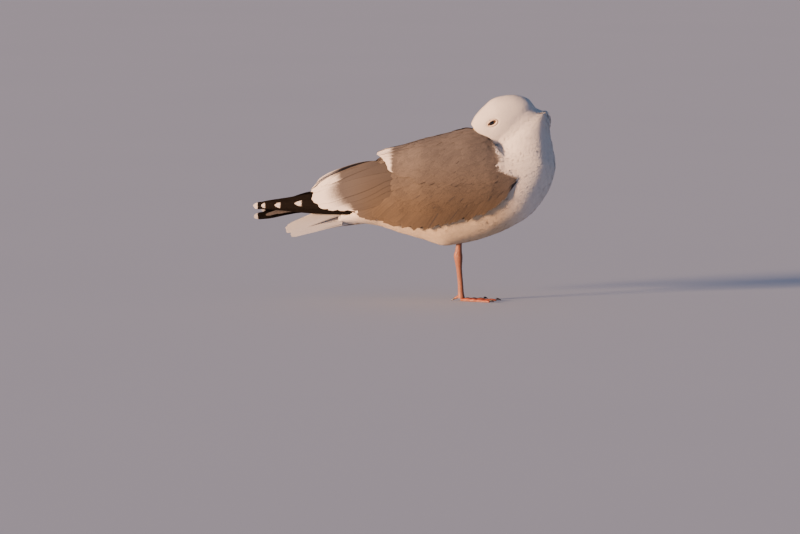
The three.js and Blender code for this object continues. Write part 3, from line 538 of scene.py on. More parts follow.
# %% Lofts as objects
def loft_object(name, skin, steps, around, domes):
    rings = skin(*round_grid(steps, around))
    poles = []
    for here, inward, dome in ((0, 1, domes[0]), (-1, -2, domes[1])):
        middle = rings[here].mean(0)
        poles.append(middle + unit(middle - rings[inward].mean(0)) * dome)
    verts = np.vstack([rings.reshape(-1, 3), poles]) * MM
    mesh = bpy.data.meshes.new(name)
    mesh.from_pydata(verts.tolist(), [], closed_faces(steps, around))
    return put_in_scene(name, mesh)


# %% Join and remesh
def remeshed(pieces, voxel):
    """One closed mesh round several closed pieces, which are then removed."""
    first = pieces[0]
    for other in pieces[1:]:
        join = first.modifiers.new("join", "BOOLEAN")
        join.operation, join.object, join.solver = "UNION", other, "EXACT"
    even = first.modifiers.new("even", "REMESH")
    even.mode, even.voxel_size = "VOXEL", voxel
    whole = bpy.data.meshes.new_from_object(first.evaluated_get(bpy.context.evaluated_depsgraph_get()))
    for piece in pieces:
        bpy.data.objects.remove(piece)
    return whole


body_blank = loft_object("body_blank", body_skin, 150, 96, (0.5, 5))
head_blank = loft_object("head_blank", head_skin, 90, 80, (5, 3))
skin_mesh = remeshed([body_blank, head_blank], 0.0018)
print("skin corners:", len(skin_mesh.vertices))


# %% Which loft each corner lies on, and the way its feathers point
def finder(points):
    """A tree that quickly finds the points near a place."""
    tree = KDTree(len(points))
    for k, point in enumerate(points):
        tree.insert(point, k)
    tree.balance()
    return tree


def near_samples(skin, steps, around, points, stride=0.006):
    """For each point: distance to the loft, place along it, and the way back along it."""
    t, angle = round_grid(steps, around)
    back = unit(skin(np.clip(t - stride, 0, 1), angle) - skin(np.clip(t + stride, 0, 1), angle))
    tree = finder(skin(t, angle).reshape(-1, 3))
    found = [tree.find(point)[1:] for point in points]
    index = np.array([k for k, _ in found])
    return np.array([d for _, d in found]), t.ravel()[index], back.reshape(-1, 3)[index]


skin_points = read(skin_mesh.vertices, "co", 3) / MM
skin_edges = read(skin_mesh.edges, "vertices", 2, np.int32)
body_gap, body_share, body_back = near_samples(body_skin, 220, 120, skin_points)
head_gap, head_share, head_back = near_samples(head_skin, 130, 100, skin_points)
on_head = body_gap > head_gap
print("corners on the head:", int(on_head.sum()))


# %% Values relaxed over the skin
def relaxed(values, rounds, share=0.5):
    """Each corner's value drawn towards the mean of its neighbours."""
    degree = np.bincount(skin_edges.ravel(), minlength=len(values))[:, None]
    for _ in range(rounds):
        total = np.zeros_like(values)
        for column in range(values.shape[1]):
            for near, far in ((0, 1), (1, 0)):
                total[:, column] += np.bincount(
                    skin_edges[:, near], values[skin_edges[:, far], column], len(values))
        values = mix(values, total / degree, share)
    return values


head_pull, body_pull = (1 / (gap + 1.5) ** 2 for gap in (head_gap, body_gap))
skin_ways = relaxed(mix(body_back, head_back, (head_pull / (head_pull + body_pull))[:, None]), 12)
print("shortest mean way:", round(float(np.linalg.norm(skin_ways, axis=1).min()), 2))

# %% [markdown]
# ## Room for the eyes
#
# A dozing gull narrows its eye to a slit between two pale lids. The eyeball lies just under the cheek's
# surface, so the skin is pushed in over an oval a little larger than the lids, and the lids are made as a
# ring of their own later on.

# %% The eyes' places
EYE_PLACE = np.array([45.5, 0, 287])
EYE_TILT = math.radians(27)
LID_LONG, LID_HIGH = 9.2, 5.6
EYE_RADIUS = 8.5
CHEEKS_FROM, NOWHERE_NEAR = 15, 9.0
cheek_points = plain_head(*crossed(np.linspace(0, 1, 121), np.linspace(0, math.pi, 91)))
miss = np.hypot(cheek_points[..., 0] - EYE_PLACE[0], cheek_points[..., 2] - EYE_PLACE[2])
CHEEK = cheek_points.reshape(-1, 3)[miss.argmin(), 1]


def eye_oval(points):
    """How far points lie from each eye's middle, with 1 at the rim of the lids, in the head's frame."""
    x, y, z = np.moveaxis(turned_at_nape(points, -HEAD_YAW) - EYE_PLACE, -1, 0)
    along = x * math.cos(EYE_TILT) + z * math.sin(EYE_TILT)
    above = z * math.cos(EYE_TILT) - x * math.sin(EYE_TILT)
    far = np.hypot(along / LID_LONG, above / LID_HIGH)
    return np.where(np.abs(y) > CHEEKS_FROM, far, NOWHERE_NEAR)


print("the cheek stands out", round(float(CHEEK), 1), "mm at the eye")


# %% Draw the skin in
def move_skin(points):
    """Moves the skin's corners and gives the new normals there."""
    skin_mesh.vertices.foreach_set("co", (points * MM).astype(np.float32).ravel())
    skin_mesh.update()
    return read(skin_mesh.vertices, "normal", 3)


DIMPLE = 4.0
skin_points = relaxed(skin_points, 5)
crease = relaxed(np.exp(-(((head_gap - body_gap) / 8) ** 2))[:, None], 12)
skin_points = mix(skin_points, relaxed(skin_points, 140), np.clip(crease * 1.6, 0, 1))
skin_normals = move_skin(skin_points)
body_depth = np.interp(body_share, [0, 0.12, 0.3, 0.6, 0.75, 1], [2.0, 2.8, 3.2, 3.0, 2.6, 2.2])
head_depth = np.interp(head_share, [0, 0.3, 0.8, 1], [2.2, 1.8, 1.3, 0.9])
coat_depth = relaxed(np.where(on_head, head_depth, body_depth)[:, None], 8)[:, 0]
dimple = DIMPLE * smoothstep(1.25 - eye_oval(skin_points), 0.0, 0.45)
skin_points = skin_points - skin_normals * (coat_depth + dimple)[:, None]
skin_normals = unit(relaxed(move_skin(skin_points), 6))
print("coat depth from", round(coat_depth.min(), 1), "to", round(coat_depth.max(), 1), "mm")

# %% [markdown]
# ## The skin's finish and its flat map
#
# Little of the skin shows between the feathers, but where it does it has to pass for down, so it carries
# the same white with a soft relief. The map named OFBake unwraps the skin by its own shape, and every
# feather later takes its colour's place from the point where it is rooted.

# %% Skin object
down = Finish("white down", Roughness=0.85, Sheen_Weight=0.3, Specular_IOR_Level=0.2)
down_soft = down.noise(down.place(), 260.0, 4.0)
down_broad = down.noise(down.place(), 38.0, 3.0)
white_down = down.finished(down.mix(rgb(0.74, 0.725, 0.705), rgb(0.64, 0.63, 0.62), down_broad),
                           height=down_soft, depth=0.0008, strength=0.8)
skin_mesh.shade_smooth()
skin_mesh.materials.clear()
skin_mesh.materials.append(white_down)
skin = put_in_scene("skin", skin_mesh)
bpy.context.view_layer.objects.active = skin
skin.select_set(True)
bpy.ops.object.mode_set(mode="EDIT")
bpy.ops.mesh.select_all(action="SELECT")
bpy.ops.uv.smart_project(angle_limit=math.radians(66), island_margin=0.004)
bpy.ops.object.mode_set(mode="OBJECT")
skin.select_set(False)
skin_mesh.uv_layers[0].name = "OFBake"
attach(skin, "root")
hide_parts("torso", "neck", "head")
print("skin triangles:", len(skin_mesh.loops) - 2 * len(skin_mesh.polygons))

# %% [markdown]
# ## Roots for the small feathers
#
# Feathers grow evenly but never in a grid. Many random spots are strewn over the skin, and a spot is kept
# only if no kept one is nearer than a set distance, which grows with the feathers: they are smallest on the
# face and longest under the tail.

# %% Random spots on the skin
skin_faces = read(skin_mesh.polygons, "vertices", 4, np.int32)
skin_uv = read(skin_mesh.uv_layers["OFBake"].data, "uv", 2).reshape(-1, 4, 2)
face_corners = skin_points[skin_faces]
face_area = np.linalg.norm(np.cross(face_corners[:, 2] - face_corners[:, 0],
                                    face_corners[:, 3] - face_corners[:, 1]), axis=-1) / 2
head_size = np.interp(head_share, [0, 0.35, 0.7, 0.9, 1], [8.5, 7.0, 5.6, 4.4, 3.6])
body_size = np.interp(body_share, [0, 0.1, 0.25, 0.55, 0.7, 0.8, 1], [30, 24, 19, 15, 12.5, 10.5, 8.5])
feather_size = relaxed(np.where(on_head, head_size, body_size)[:, None], 10)[:, 0]
near_eye = eye_oval(skin_points)
feather_size = feather_size * mix(0.55, 1.0, smoothstep(near_eye, 1.0, 2.6))
print("feathers from", round(feather_size.min(), 1), "to", round(feather_size.max(), 1), "mm long")


# %% Roots thinned to an even spacing
def strewn(spots=4.9, spacing=0.27):
    """Faces and places in them for roots. Spots is how many are tried for each square of the spacing."""
    size = feather_size[skin_faces].mean(1)
    weight = face_area / (size * spacing) ** 2
    count = int(weight.sum() * spots)
    face = random.choice(len(skin_faces), count, p=weight / weight.sum())
    a, b = random.random((2, count, 1))
    shares = np.concatenate([(1 - a) * (1 - b), a * (1 - b), a * b, (1 - a) * b], 1)
    place = (skin_points[skin_faces[face]] * shares[..., None]).sum(1)
    tree = finder(place)
    taken, blocked = np.zeros((2, count), bool)
    radius = size[face] * spacing
    for k in range(count):
        if not blocked[k]:
            taken[k] = True
            for _, near, _ in tree.find_range(place[k], radius[k]):
                blocked[near] = True
    return face[taken], shares[taken]


root_face, root_shares = strewn()


def at_roots(values):
    picked = values[skin_faces[root_face]]
    weights = root_shares if picked.ndim == 2 else root_shares[..., None]
    return (picked * weights).sum(1)


roots = at_roots(skin_points)
root_uv = (skin_uv[root_face] * root_shares[..., None]).sum(1)
print("roots:", len(roots))

# %% [markdown]
# ## Feathers that hug the skin
#
# Each small feather is a closed vane of a few cells. It starts a little under the skin, follows the lie of
# the coat and rises slowly to the coat's outer surface, so that the next ones overlap it as tiles do. Its
# grid is first laid flat, then each corner is dropped onto the skin and lifted along the skin's normal.

# %% The skin as something to lie on
skin_tree = BVHTree.FromPolygons(skin_points.tolist(), skin_faces.tolist())


def dropped(points, top):
    """The nearest points of the skin, its smoothed normals there and the coat's height there."""
    flat = points.reshape(-1, 3)
    found = [skin_tree.find_nearest(point) for point in flat.tolist()]
    place = np.array([hit[0] for hit in found])
    corners = skin_faces[[hit[2] for hit in found]]
    weight = 1 / (np.sum((skin_points[corners] - place[:, None]) ** 2, -1) + 0.05)
    normal = unit((skin_normals[corners] * weight[..., None]).sum(1))
    height = (top[corners] * weight).sum(1) / weight.sum(1)
    return place.reshape(points.shape), normal.reshape(points.shape), height.reshape(points.shape[:-1])


# %% The outline of a vane
def vane_shape(s, c, length, half, jag, root_width=0.5, point=0.95, taper=0.1, wedge=0.0):
    """Places along and across, in mm, of a vane with a rounded and slightly frayed tip."""
    wide = mix(root_width, 1.0, np.sin(np.clip(s / 0.55, 0, 1) * math.pi / 2))
    wide = wide * (1 - taper * smoothstep(s, 0.5, 1))
    deficit = mix(1 - np.sqrt(np.clip(1 - c * c, 0, 1)), np.abs(c), wedge) * point * half / length
    along = s - deficit * s**2.2 + jag * s**5
    return along * length, c * wide * half


# %% Swells in the coat
def waves(points, period=30):
    """Slow swells over the body, between -1 and 1, longer along it than round it."""
    x, y, z = np.moveaxis(points, -1, 0) * (FULL_TURN / period)
    return (np.sin(0.5 * x + 1.1 * z + 0.7) * np.sin(0.9 * y - 0.8 * z + 2.0)
            + 0.6 * np.sin(1.3 * z + 0.8 * y - 0.9 * x + 4.1)) / 1.6


# %% Small feathers
def skin_vanes(pick, top, cells, width=0.36, spread=0.07, cup=0.08, thick=0.1, swell=0.5):
    """Feathers at the picked roots, as one part. At the nape they are longer and ruffled."""
    nu, nv = cells
    s, c, _, _ = vane_layout(nu, nv)
    count = len(pick)
    normal = unit(at_roots(skin_normals)[pick])
    way = at_roots(skin_ways)[pick] + random.normal(0, spread, (count, 3))
    way = unit(way - normal * (way * normal).sum(-1, keepdims=True))
    side = np.cross(normal, way)
    size = at_roots(feather_size)[pick] * random.uniform(0.85, 1.15, count)
    ruffled = smoothstep(roots[pick][:, 0], 126, 136) * smoothstep(roots[pick][:, 2], 284, 296)
    size = size * (1 + 0.25 * ruffled)
    length, half = size[:, None, None], (size * width)[:, None, None]
    jag = random.normal(0, 0.05, (count, 1, nv + 1))
    along, across = vane_shape(s[None], c[None], length, half, jag)
    laid = roots[pick][:, None, None] + way[:, None, None] * along[..., None]
    flat = laid + side[:, None, None] * across[..., None]
    place, out, depth = dropped(flat, top)
    depth = depth + (ruffled * random.uniform(0, 2.6, count))[:, None, None]
    height = mix(-0.4, depth, 1 - (1 - s[None]) ** 2.4) - c[None] ** 2 * cup * s[None]
    height = height + random.normal(0, 0.06, (count, 1, 1))
    height = height + swell * waves(flat) * np.minimum(depth, 3) / 3
    grid = place + out * height[..., None]
    patch = np.concatenate([root_uv[pick] - 0.0015, np.full((count, 2), 0.003)], 1)
    numbers = {"tint": random.random(count), "shaft": 0.05}
    return close_vanes(grid, out, thick, numbers, patch)


# %% [markdown]
# ## Sheets for the folded wings
#
# A folded wing, the shoulder feathers and the long primaries each lie on a gently curved sheet between an
# upper and a lower edge. A feather there is placed by its root and tip on the sheet, so a whole row follows
# from its first and last feather. The numbers are those of the bird's right side, and the left side mirrors
# them.


# %% Curved sheets
STRIDE = 0.01


def sheet(stations, skew=1.0):
    """A sheet from rows of [upper x, y, z, lower x, y, z, swell]: u runs along it and v from edge to edge."""
    rows = np.asarray(stations, float)
    upper, lower, swell = through(rows[:, :3]), through(rows[:, 3:6]), smooth_values(rows[:, 6])

    def inside(u, v):
        near, far = upper(u), lower(u)
        run = upper(np.clip(u + STRIDE, 0, 1)) - upper(np.clip(u - STRIDE, 0, 1))
        out = unit(np.cross(run, far - near))
        bulge = np.sin(math.pi * np.clip(v, 0, 1) ** skew) * swell(u)
        return near + (far - near) * v[..., None] + out * bulge[..., None]

    def face(u, v):
        u, v = np.broadcast_arrays(np.asarray(u, float), np.asarray(v, float))
        held = np.clip(u, STRIDE, 1 - STRIDE)
        slope = (inside(held + STRIDE, v) - inside(held - STRIDE, v)) / (2 * STRIDE)
        past = (u - np.clip(u, 0, 1))[..., None]
        return inside(np.clip(u, 0, 1), v) + slope * past

    return face


def sheet_normal(face, u, v, step=0.012):
    """The way straight out of a sheet, also a little past its edges."""
    u, v = np.clip(u, 0, 1), np.clip(v, 0, 1)
    u0, u1 = np.clip(u - step, 0, 1), np.clip(u + step, 0, 1)
    v0, v1 = np.clip(v - step, 0, 1), np.clip(v + step, 0, 1)
    return unit(np.cross(face(u1, v) - face(u0, v), face(u, v1) - face(u, v0)))


# %% The wing's three sheets
WING_STATIONS = [
    [82, -53, 219, 91, -55, 197, 1.5], [62, -47, 234, 75, -58, 176, 7],
    [38, -43, 243, 50, -58, 154, 15], [6, -41, 246, 14, -56, 137, 19.5],
    [-26, -38, 245, -21, -55, 128, 23], [-58, -29, 243, -54, -51, 119, 27.5],
    [-90, -15, 236, -91, -44, 121, 28], [-122, -6, 226, -123, -39, 134, 22],
    [-154, -3, 219, -152, -33, 137, 16], [-186, -2.5, 207, -178, -30, 144, 10],
    [-215, -2.5, 193, -209, -26, 146, 7], [-238, -2.5, 176, -236, -17, 160, 3],
]
SCAPULAR_STATIONS = [
    [50, -34, 259, 75, -57.6, 209, 4], [36, -20, 271, 46, -64.4, 198, 10],
    [12, -9, 277, 5, -68.7, 193, 16], [-20, -2.5, 268, -35, -69.7, 190, 20],
    [-50, -2, 259, -68, -64.4, 195, 20], [-82, -2, 250, -95, -50, 205, 15],
    [-110, -3, 243, -115, -34.5, 219, 8], [-137, -7, 235, -134, -22, 227, 3],
]
BLADE_STATIONS = [
    [-128, -16, 190, -128, -30, 139, 3], [-165, -13, 183, -165, -27, 137.5, 4],
    [-200, -10, 178, -200, -22, 138, 4], [-240, -7, 175, -240, -17, 139.5, 3],
    [-280, -5, 168, -280, -12, 144, 2], [-310, -4, 163, -310, -9, 147, 1],
    [-331, -3, 158, -331, -7, 149, 0.5],
]
wing_sheet = sheet(WING_STATIONS)
scapular_sheet = sheet(SCAPULAR_STATIONS, 0.7)
upper_edge = wing_sheet(np.linspace(0, 1, 50), 0.0)
print("wing's upper edge:", round(float(np.linalg.norm(np.diff(upper_edge, axis=0), axis=1).sum())), "mm")


# %% Finding a place on a sheet
# The slope of five degrees: how much higher a place is seen for each mm that it lies further away.
RISE_ACROSS = 0.0875


def spots(face, places):
    """u and v of a sheet's points that are seen at an X and a height from the side, five degrees above."""
    u, v = crossed(np.arange(-0.1, 1.15, 0.004), np.arange(-0.15, 1.25, 0.004))
    there = face(u, v)
    seen = np.stack([there[..., 0], there[..., 2] + RISE_ACROSS * there[..., 1]], -1).reshape(-1, 2)
    best = [np.hypot(*(seen - place).T).argmin() for place in np.asarray(places, float)]
    return np.stack([u.ravel()[best], v.ravel()[best]], -1)


# %% A bed under the rows
def bed(face, low, high, cells, depth, sink, front=((0, 1), (0, 0)), top=((0, 1), (0, 0))):
    """A closed slab a little under a sheet, so that only feathers show. Front and top shift its edges."""
    nu, nv = cells
    u, v = crossed(np.linspace(low[0], high[0], nu + 1), np.linspace(low[1], high[1], nv + 1))
    u = u + np.interp(v, *front) * (high[0] - u) / (high[0] - low[0])
    v = v + np.interp(u, *top) * (high[1] - v) / (high[1] - low[1])
    normal = sheet_normal(face, u, v)
    inner = vane_layout(nu, nv)[3]
    thick = depth(u, v).ravel()[inner, None]
    return close_vanes((face(u, v) - normal * sink)[None], normal[None], thick, {"tint": 0.5}, soft=0.3)


# %% The beds of wing and shoulder
# Where the grey begins: u of the shoulder feathers' front edge at some v, and v of the wing's upper edge
# at some u.
SCAPULAR_FRONT = ((0, 0.25, 0.5, 0.75, 1), (0, -0.05, -0.04, 0.02, 0.06))
WING_TOP = ((0.07, 0.15), (0.38, 0.0))


def wing_depth(u, v):
    """Thick over the forearm, thin behind it, and thinner again at the lower edge."""
    return mix(11, 1.6, smoothstep(u, 0.45, 0.66)) * (1 - 0.5 * smoothstep(v, 0.8, 1))


def scapular_depth(u, v):
    """Thick over the shoulder, and thin behind and below."""
    return mix(11, 3, np.maximum(smoothstep(u, 0.5, 0.86), v**3))


wing_bed = bed(wing_sheet, (0.0, 0.02), (0.8, 0.985), (48, 20), wing_depth, 1.4, top=WING_TOP)
scapular_bed = bed(scapular_sheet, (0.0, 0.0), (0.86, 0.93), (40, 18), scapular_depth, 1.6,
                   front=SCAPULAR_FRONT)
print("bed corners:", len(wing_bed["verts"]), "under a wing,", len(scapular_bed["verts"]), "under a shoulder")


# %% Feathers on a sheet
def laid_on(face, root, tip, half, rise, cells, tilt=0.03, camber=60.0, jag=0.018, **outline):
    """Grids of points, normals and reach for feathers from roots to tips, given in u and v."""
    nu, nv = cells
    s, c, _, _ = vane_layout(nu, nv)
    length = np.linalg.norm(face(*tip.T) - face(*root.T), axis=-1)[:, None, None]
    half = np.broadcast_to(half, len(root))[:, None, None]
    frays = random.normal(0, jag, (len(root), 1, nv + 1))
    along, across = vane_shape(s[None], c[None], length, half, frays, **outline)
    share = along / length

    def centre(share):
        return [mix(root[:, k, None, None], tip[:, k, None, None], share) for k in (0, 1)]

    u, v = centre(share)
    normal = sheet_normal(face, u, v)
    ahead = unit(face(*centre(share + 0.02)) - face(*centre(share - 0.02)))
    aside = unit(np.cross(normal, ahead))
    lift = mix(rise[0], rise[1], 1 - (1 - s[None]) ** 1.6) + tilt * across - across**2 / (2 * camber)
    return face(u, v) + aside * across[..., None] + normal * lift[..., None], normal, share


# %% Rows of feathers
def laid_row(face, root, tip, half, rise, cells=(8, 6), thick=0.35, large=False, layer=0.0, numbers=None,
             soft=0.8, nicks=0.0, deeper=0.0, **shape):
    """Feathers from roots to tips as one part. The numbers go on every feather, a few get a painted shadow
    along one edge, and a raised tint darkens a row as painted shade.
    """
    count = len(root)
    half = half * random.uniform(0.94, 1.06, count)
    points, normal, _ = laid_on(face, root, tip, half, rise, cells, **shape)
    points = points + normal * (layer * np.linspace(0, 1, count))[:, None, None, None]
    patches = None if large else np.concatenate([np.clip(root, 0, 0.99), np.full((count, 2), 0.003)], 1)
    # A raised tint pulls the whole row towards the darker grey, as painted shade.
    tint = random.random(count) + deeper
    # A few feathers get a painted shadow along one edge.
    nick = (random.random(count) < nicks) * 0.9
    return close_vanes(points, normal, thick, dict(numbers or {}, tint=tint, nick=nick), patches, soft=soft)


def row(face, count, roots, tips, half, rise, shake=1.0, **rest):
    """A row of feathers between its first and its last."""
    share = np.linspace(0, 1, count)[:, None]
    root, tip = (mix(np.array(ends[0]), np.array(ends[1]), share) for ends in (roots, tips))
    root = root + random.normal(0, 0.002 * shake, (count, 2))
    tip = tip + random.normal(0, 0.005 * shake, (count, 2)) * [0.6, 2.0]
    return laid_row(face, root, tip, mix(half[0], half[1], share[:, 0]), rise, **rest)


# %% Loose rows over a stretch
def strewn_on(face, low, high, gap, way, half, rise, wobble=0.12, keep=None, **rest):
    """Feathers rooted in loose staggered rows over a whole stretch of a sheet."""
    u, v = crossed(np.arange(low[0], high[0], gap[0]), np.arange(low[1], high[1], gap[1]))
    u = u + gap[0] * 0.5 * (np.arange(u.shape[1]) % 2)
    root = np.stack([u, v], -1).reshape(-1, 2)
    root = root + random.uniform(-0.4, 0.4, root.shape) * gap
    way = np.array(way) * random.uniform(0.85, 1.15, (len(root), 1))
    way = way * (1 + random.normal(0, wobble, root.shape))
    if keep is not None:
        kept = keep(root[:, 0], root[:, 1])
        root, way = root[kept], way[kept]
    return laid_row(face, root, root + way, half, rise, **rest)


# %% [markdown]
# ## Coverts, secondaries and tertials
#
# From the wrist back, the wing is roofed by small lesser coverts in many rows, one row of median coverts
# and one of long greater coverts, which reach the wing's lower edge. Behind them the secondaries show as a
# narrow margin, and the broad tertials close the wing, each with a wide white tip. The rows are laid from
# the lowest layer up, and every feather is tilted a little so that its edge lies over its neighbour.

# %% Coverts and secondaries
def grey_piece(name, parts, replaced=()):
    mesh_piece(name, parts, grey_plumage, replaced)


lesser = strewn_on(wing_sheet, (0.0, 0.0), (0.54, 0.74), (0.0155, 0.062), (0.042, 0.14), 5.6, (-1.0, 0.4),
                   cells=(6, 5), jag=0.05, nicks=0.05, numbers={"fringe": 0.02, "shaft": 0.04},
                   keep=lambda u, v: v > np.interp(u, *WING_TOP))
median = row(wing_sheet, 24, ((0.05, 0.6), (0.47, 0.38)), ((0.115, 0.84), (0.55, 0.62)), (6.5, 8.0),
             (-1.0, 0.5), shake=2.0, jag=0.04, nicks=0.15, numbers={"fringe": 0.02, "shaft": 0.06})
greater = row(wing_sheet, 26, ((0.05, 0.68), (0.5, 0.44)), ((0.14, 0.99), (0.69, 0.975)), (6.5, 8.5),
              (-1.0, 0.45), cells=(14, 6), jag=0.02, tilt=0.05, nicks=0.16,
              numbers={"fringe": 0.02, "shaft": 0.12})
secondaries = row(wing_sheet, 7, ((0.42, 0.7), (0.58, 0.66)), ((0.62, 1.01), (0.77, 0.99)), (9, 10),
                  (-1.4, -0.1), cells=(14, 6), numbers={"shaft": 0.2}, tilt=0.03)
small_rows = [lesser, median, greater, secondaries]
print("faces of small feathers on one wing:", sum(len(part["faces"]) for part in small_rows))

# %% Tertials, and the wing's pieces on both sides
# Each row: X and height of the root, X and height of the tip, half the width, and the share that is white.
TERTIALS = np.array([
    [-92, 170, -184, 152, 10, 0.04], [-96, 179, -200, 151, 11, 0.1], [-98, 188, -216, 154, 12, 0.14],
    [-98, 197, -228, 160, 13, 0.15], [-97, 206, -237, 167, 14, 0.15], [-95, 214, -238, 175, 14, 0.15],
    [-94, 222, -229, 184, 13, 0.14], [-108, 229, -212, 188, 7, 0.1],
])
# The tertials' tint is raised, which darkens them as painted shade.
tertials = laid_row(wing_sheet, spots(wing_sheet, TERTIALS[:, :2]), spots(wing_sheet, TERTIALS[:, 2:4]),
                    TERTIALS[:, 4], (-1.6, 0.6), cells=(26, 10), layer=2.0, large=True, jag=0.006,
                    point=0.8, deeper=2.0, numbers={"tip": TERTIALS[:, 5], "shaft": 0.2})
SIDES = {"right": dict, "left": mirrored}
for side, turn in SIDES.items():
    grey_piece(f"wing_bed_{side}", [turn(wing_bed)], [f"wing_{side}"])
    grey_piece(f"coverts_{side}", [turn(part) for part in small_rows])
    grey_piece(f"tertials_{side}", [turn(tertials)])

# %% [markdown]
# ## Scapulars and the back
#
# The shoulder feathers lie over the upper half of both wings and hide the bill. They point back and down,
# and the hindmost are tipped with white, which makes the pale crescent in front of the tertials. A narrow
# strip of back feathers closes the parting between the two sides.

# %% The scapulars' rows
# The two hindmost rows have their tint raised, which darkens them as painted shade.
scapular_rows = [
    strewn_on(scapular_sheet, (-0.08, 0.02), (0.72, 0.86), (0.03, 0.088), (0.09, 0.17), 6.6, (-1.0, 0.5),
              cells=(7, 5), jag=0.04, nicks=0.07, camber=45, numbers={"fringe": 0.02, "shaft": 0.05},
              keep=lambda u, v: u > np.interp(v, *SCAPULAR_FRONT)),
    row(scapular_sheet, 8, ((0.62, 0.1), (0.58, 0.74)), ((0.88, 0.16), (0.8, 0.98)), (9, 10), (-1.2, 0.6),
        cells=(14, 8), shake=1.5, camber=40, deeper=1.0, numbers={"shaft": 0.08}),
    row(scapular_sheet, 7, ((0.68, 0.12), (0.64, 0.7)), ((0.99, 0.3), (0.87, 1.0)), (10.5, 10.5), (-1.4, 1.0),
        cells=(16, 8), camber=40, deeper=1.0, numbers={"tip": np.linspace(0.24, 0.11, 7), "shaft": 0.08}),
]
for side, turn in SIDES.items():
    grey_piece(f"scapular_bed_{side}", [turn(scapular_bed)], [f"scapulars_{side}"])
    grey_piece(f"scapulars_{side}_coat", [turn(part) for part in scapular_rows])

# %% The strip along the back
def level_sheet(stations):
    """A sheet that lies across the bird, from rows of [x, half its width, z, swell]."""
    return sheet([[x, half, z, x, -half, z, swell] for x, half, z, swell in stations])


def even_depth(millimetres):
    return lambda u, v: np.full(u.shape, millimetres)


back_sheet = level_sheet([
    [34, 16, 257, 3], [14, 12, 272, 1], [-20, 12, 267, 2], [-50, 11, 259, 2], [-82, 11, 248, 4],
    [-110, 13, 233, 7], [-136, 13, 214, 9], [-165, 10, 205, 9], [-195, 7, 196, 6], [-215, 4, 188, 3.5],
])
back_bed = bed(back_sheet, (0.0, 0.0), (1.0, 1.0), (44, 8), even_depth(2.5), 1.4)
back_rows = strewn_on(back_sheet, (0.02, 0.08), (0.9, 1.0), (0.035, 0.17), (0.085, 0.0), 6.5, (-1.2, 0.3),
                      cells=(7, 5), jag=0.04, numbers={"shaft": 0.05})
grey_piece("back_strip", [back_bed])
grey_piece("back_coat", [back_rows])

# %% [markdown]
# ## Primaries
#
# The ten long flight feathers fold into one narrow blade. The longest reaches its tip, and the shorter ones
# lie over it one after another, so that the white spots at their tips stand in a line inside the black. The
# left blade hangs a little lower than the right one and shows the paler inner side of its feathers.

# %% One blade
# Each row: X and height of the tip, half the width, the share that is white, and the layer, counted outwards.
PRIMARIES = np.array([
    [-262, 166, 7, 0, 0], [-240, 171, 7, 0, 0], [-290, 162, 6.5, 0, 0], [-332, 153, 9.5, 0.05, 0],
    [-320, 153, 6.6, 0.055, 1], [-298, 153.5, 6.8, 0.066, 2], [-267, 156, 7.0, 0.08, 3],
    [-250, 165, 9.5, 0, 4],
])
LONGEST = np.arange(len(PRIMARIES)) == 3
BLADE_DROOP = {"right": 0.0, "left": 16.0}


def hanging(x):
    """How much of the droop a place along the blade has."""
    return smoothstep(-x, 240, 325)


def blade_sheet(droop):
    rows = np.array(BLADE_STATIONS, float)
    rows[:, [0, 3]] += droop / 5 * hanging(rows[:, [0, 3]])
    rows[:, [2, 5]] -= (droop * hanging(rows[:, 0]))[:, None]
    return sheet(rows)


def blade_vanes(blade, droop):
    falls = droop * hanging(PRIMARIES[:, 0]) * np.where(LONGEST, 1.1, 0.5)
    tip = spots(blade, PRIMARIES[:, :2] - np.stack([0 * falls, falls], -1))
    root = np.stack([np.full(len(tip), 0.03), mix(0.6, tip[:, 1], 0.3)], -1)
    points, normal, reach = laid_on(blade, root, tip, PRIMARIES[:, 2], (0, 0), (34, 8), tilt=0.02, camber=40,
                                    jag=0.003, root_width=0.6, taper=0.35, point=1.5,
                                    wedge=np.where(LONGEST, 0.1, 0.5)[:, None, None])
    points = points + normal * (PRIMARIES[:, 4, None, None, None] - 2)
    numbers = {"tip": PRIMARIES[:, 3], "tint": random.random(len(tip)), "shaft": 0.5}
    return close_vanes(points, normal, 0.7, numbers, reach=reach)


# %% The two blades, and two inner feathers that show under the left one
blades = {side: blade_sheet(droop) for side, droop in BLADE_DROOP.items()}
for side, turn in SIDES.items():
    vanes = blade_vanes(blades[side], BLADE_DROOP[side])
    hand = bed(blades[side], (0.0, 0.03), (0.9, 0.95), (30, 8), even_depth(1.4), 2.6)
    mesh_piece(f"primaries_{side}_coat", [turn(vanes), turn(hand)], black_plumage,
               [f"primaries_{side}"])
ends = spots(blades["left"], [(-313, 139.5), (-296, 141.5)])
inner = laid_row(blades["left"], ends * [0, 1] + [0.4, 0], ends, np.array([5.0, 5.5]), (-7.5, -6.5),
                 cells=(20, 6), large=True, jag=0.003, point=2.0, taper=0.4, numbers={"shaft": 0.4})
grey_piece("primaries_left_inner", [mirrored(inner)])

# %% [markdown]
# ## Tail
#
# White tail feathers lie folded over each other, the middle pair on top and the outermost lowest and
# shortest. Each one is rolled outward, so that the closed tail is a steep roof, and one more closes the
# parting from below.

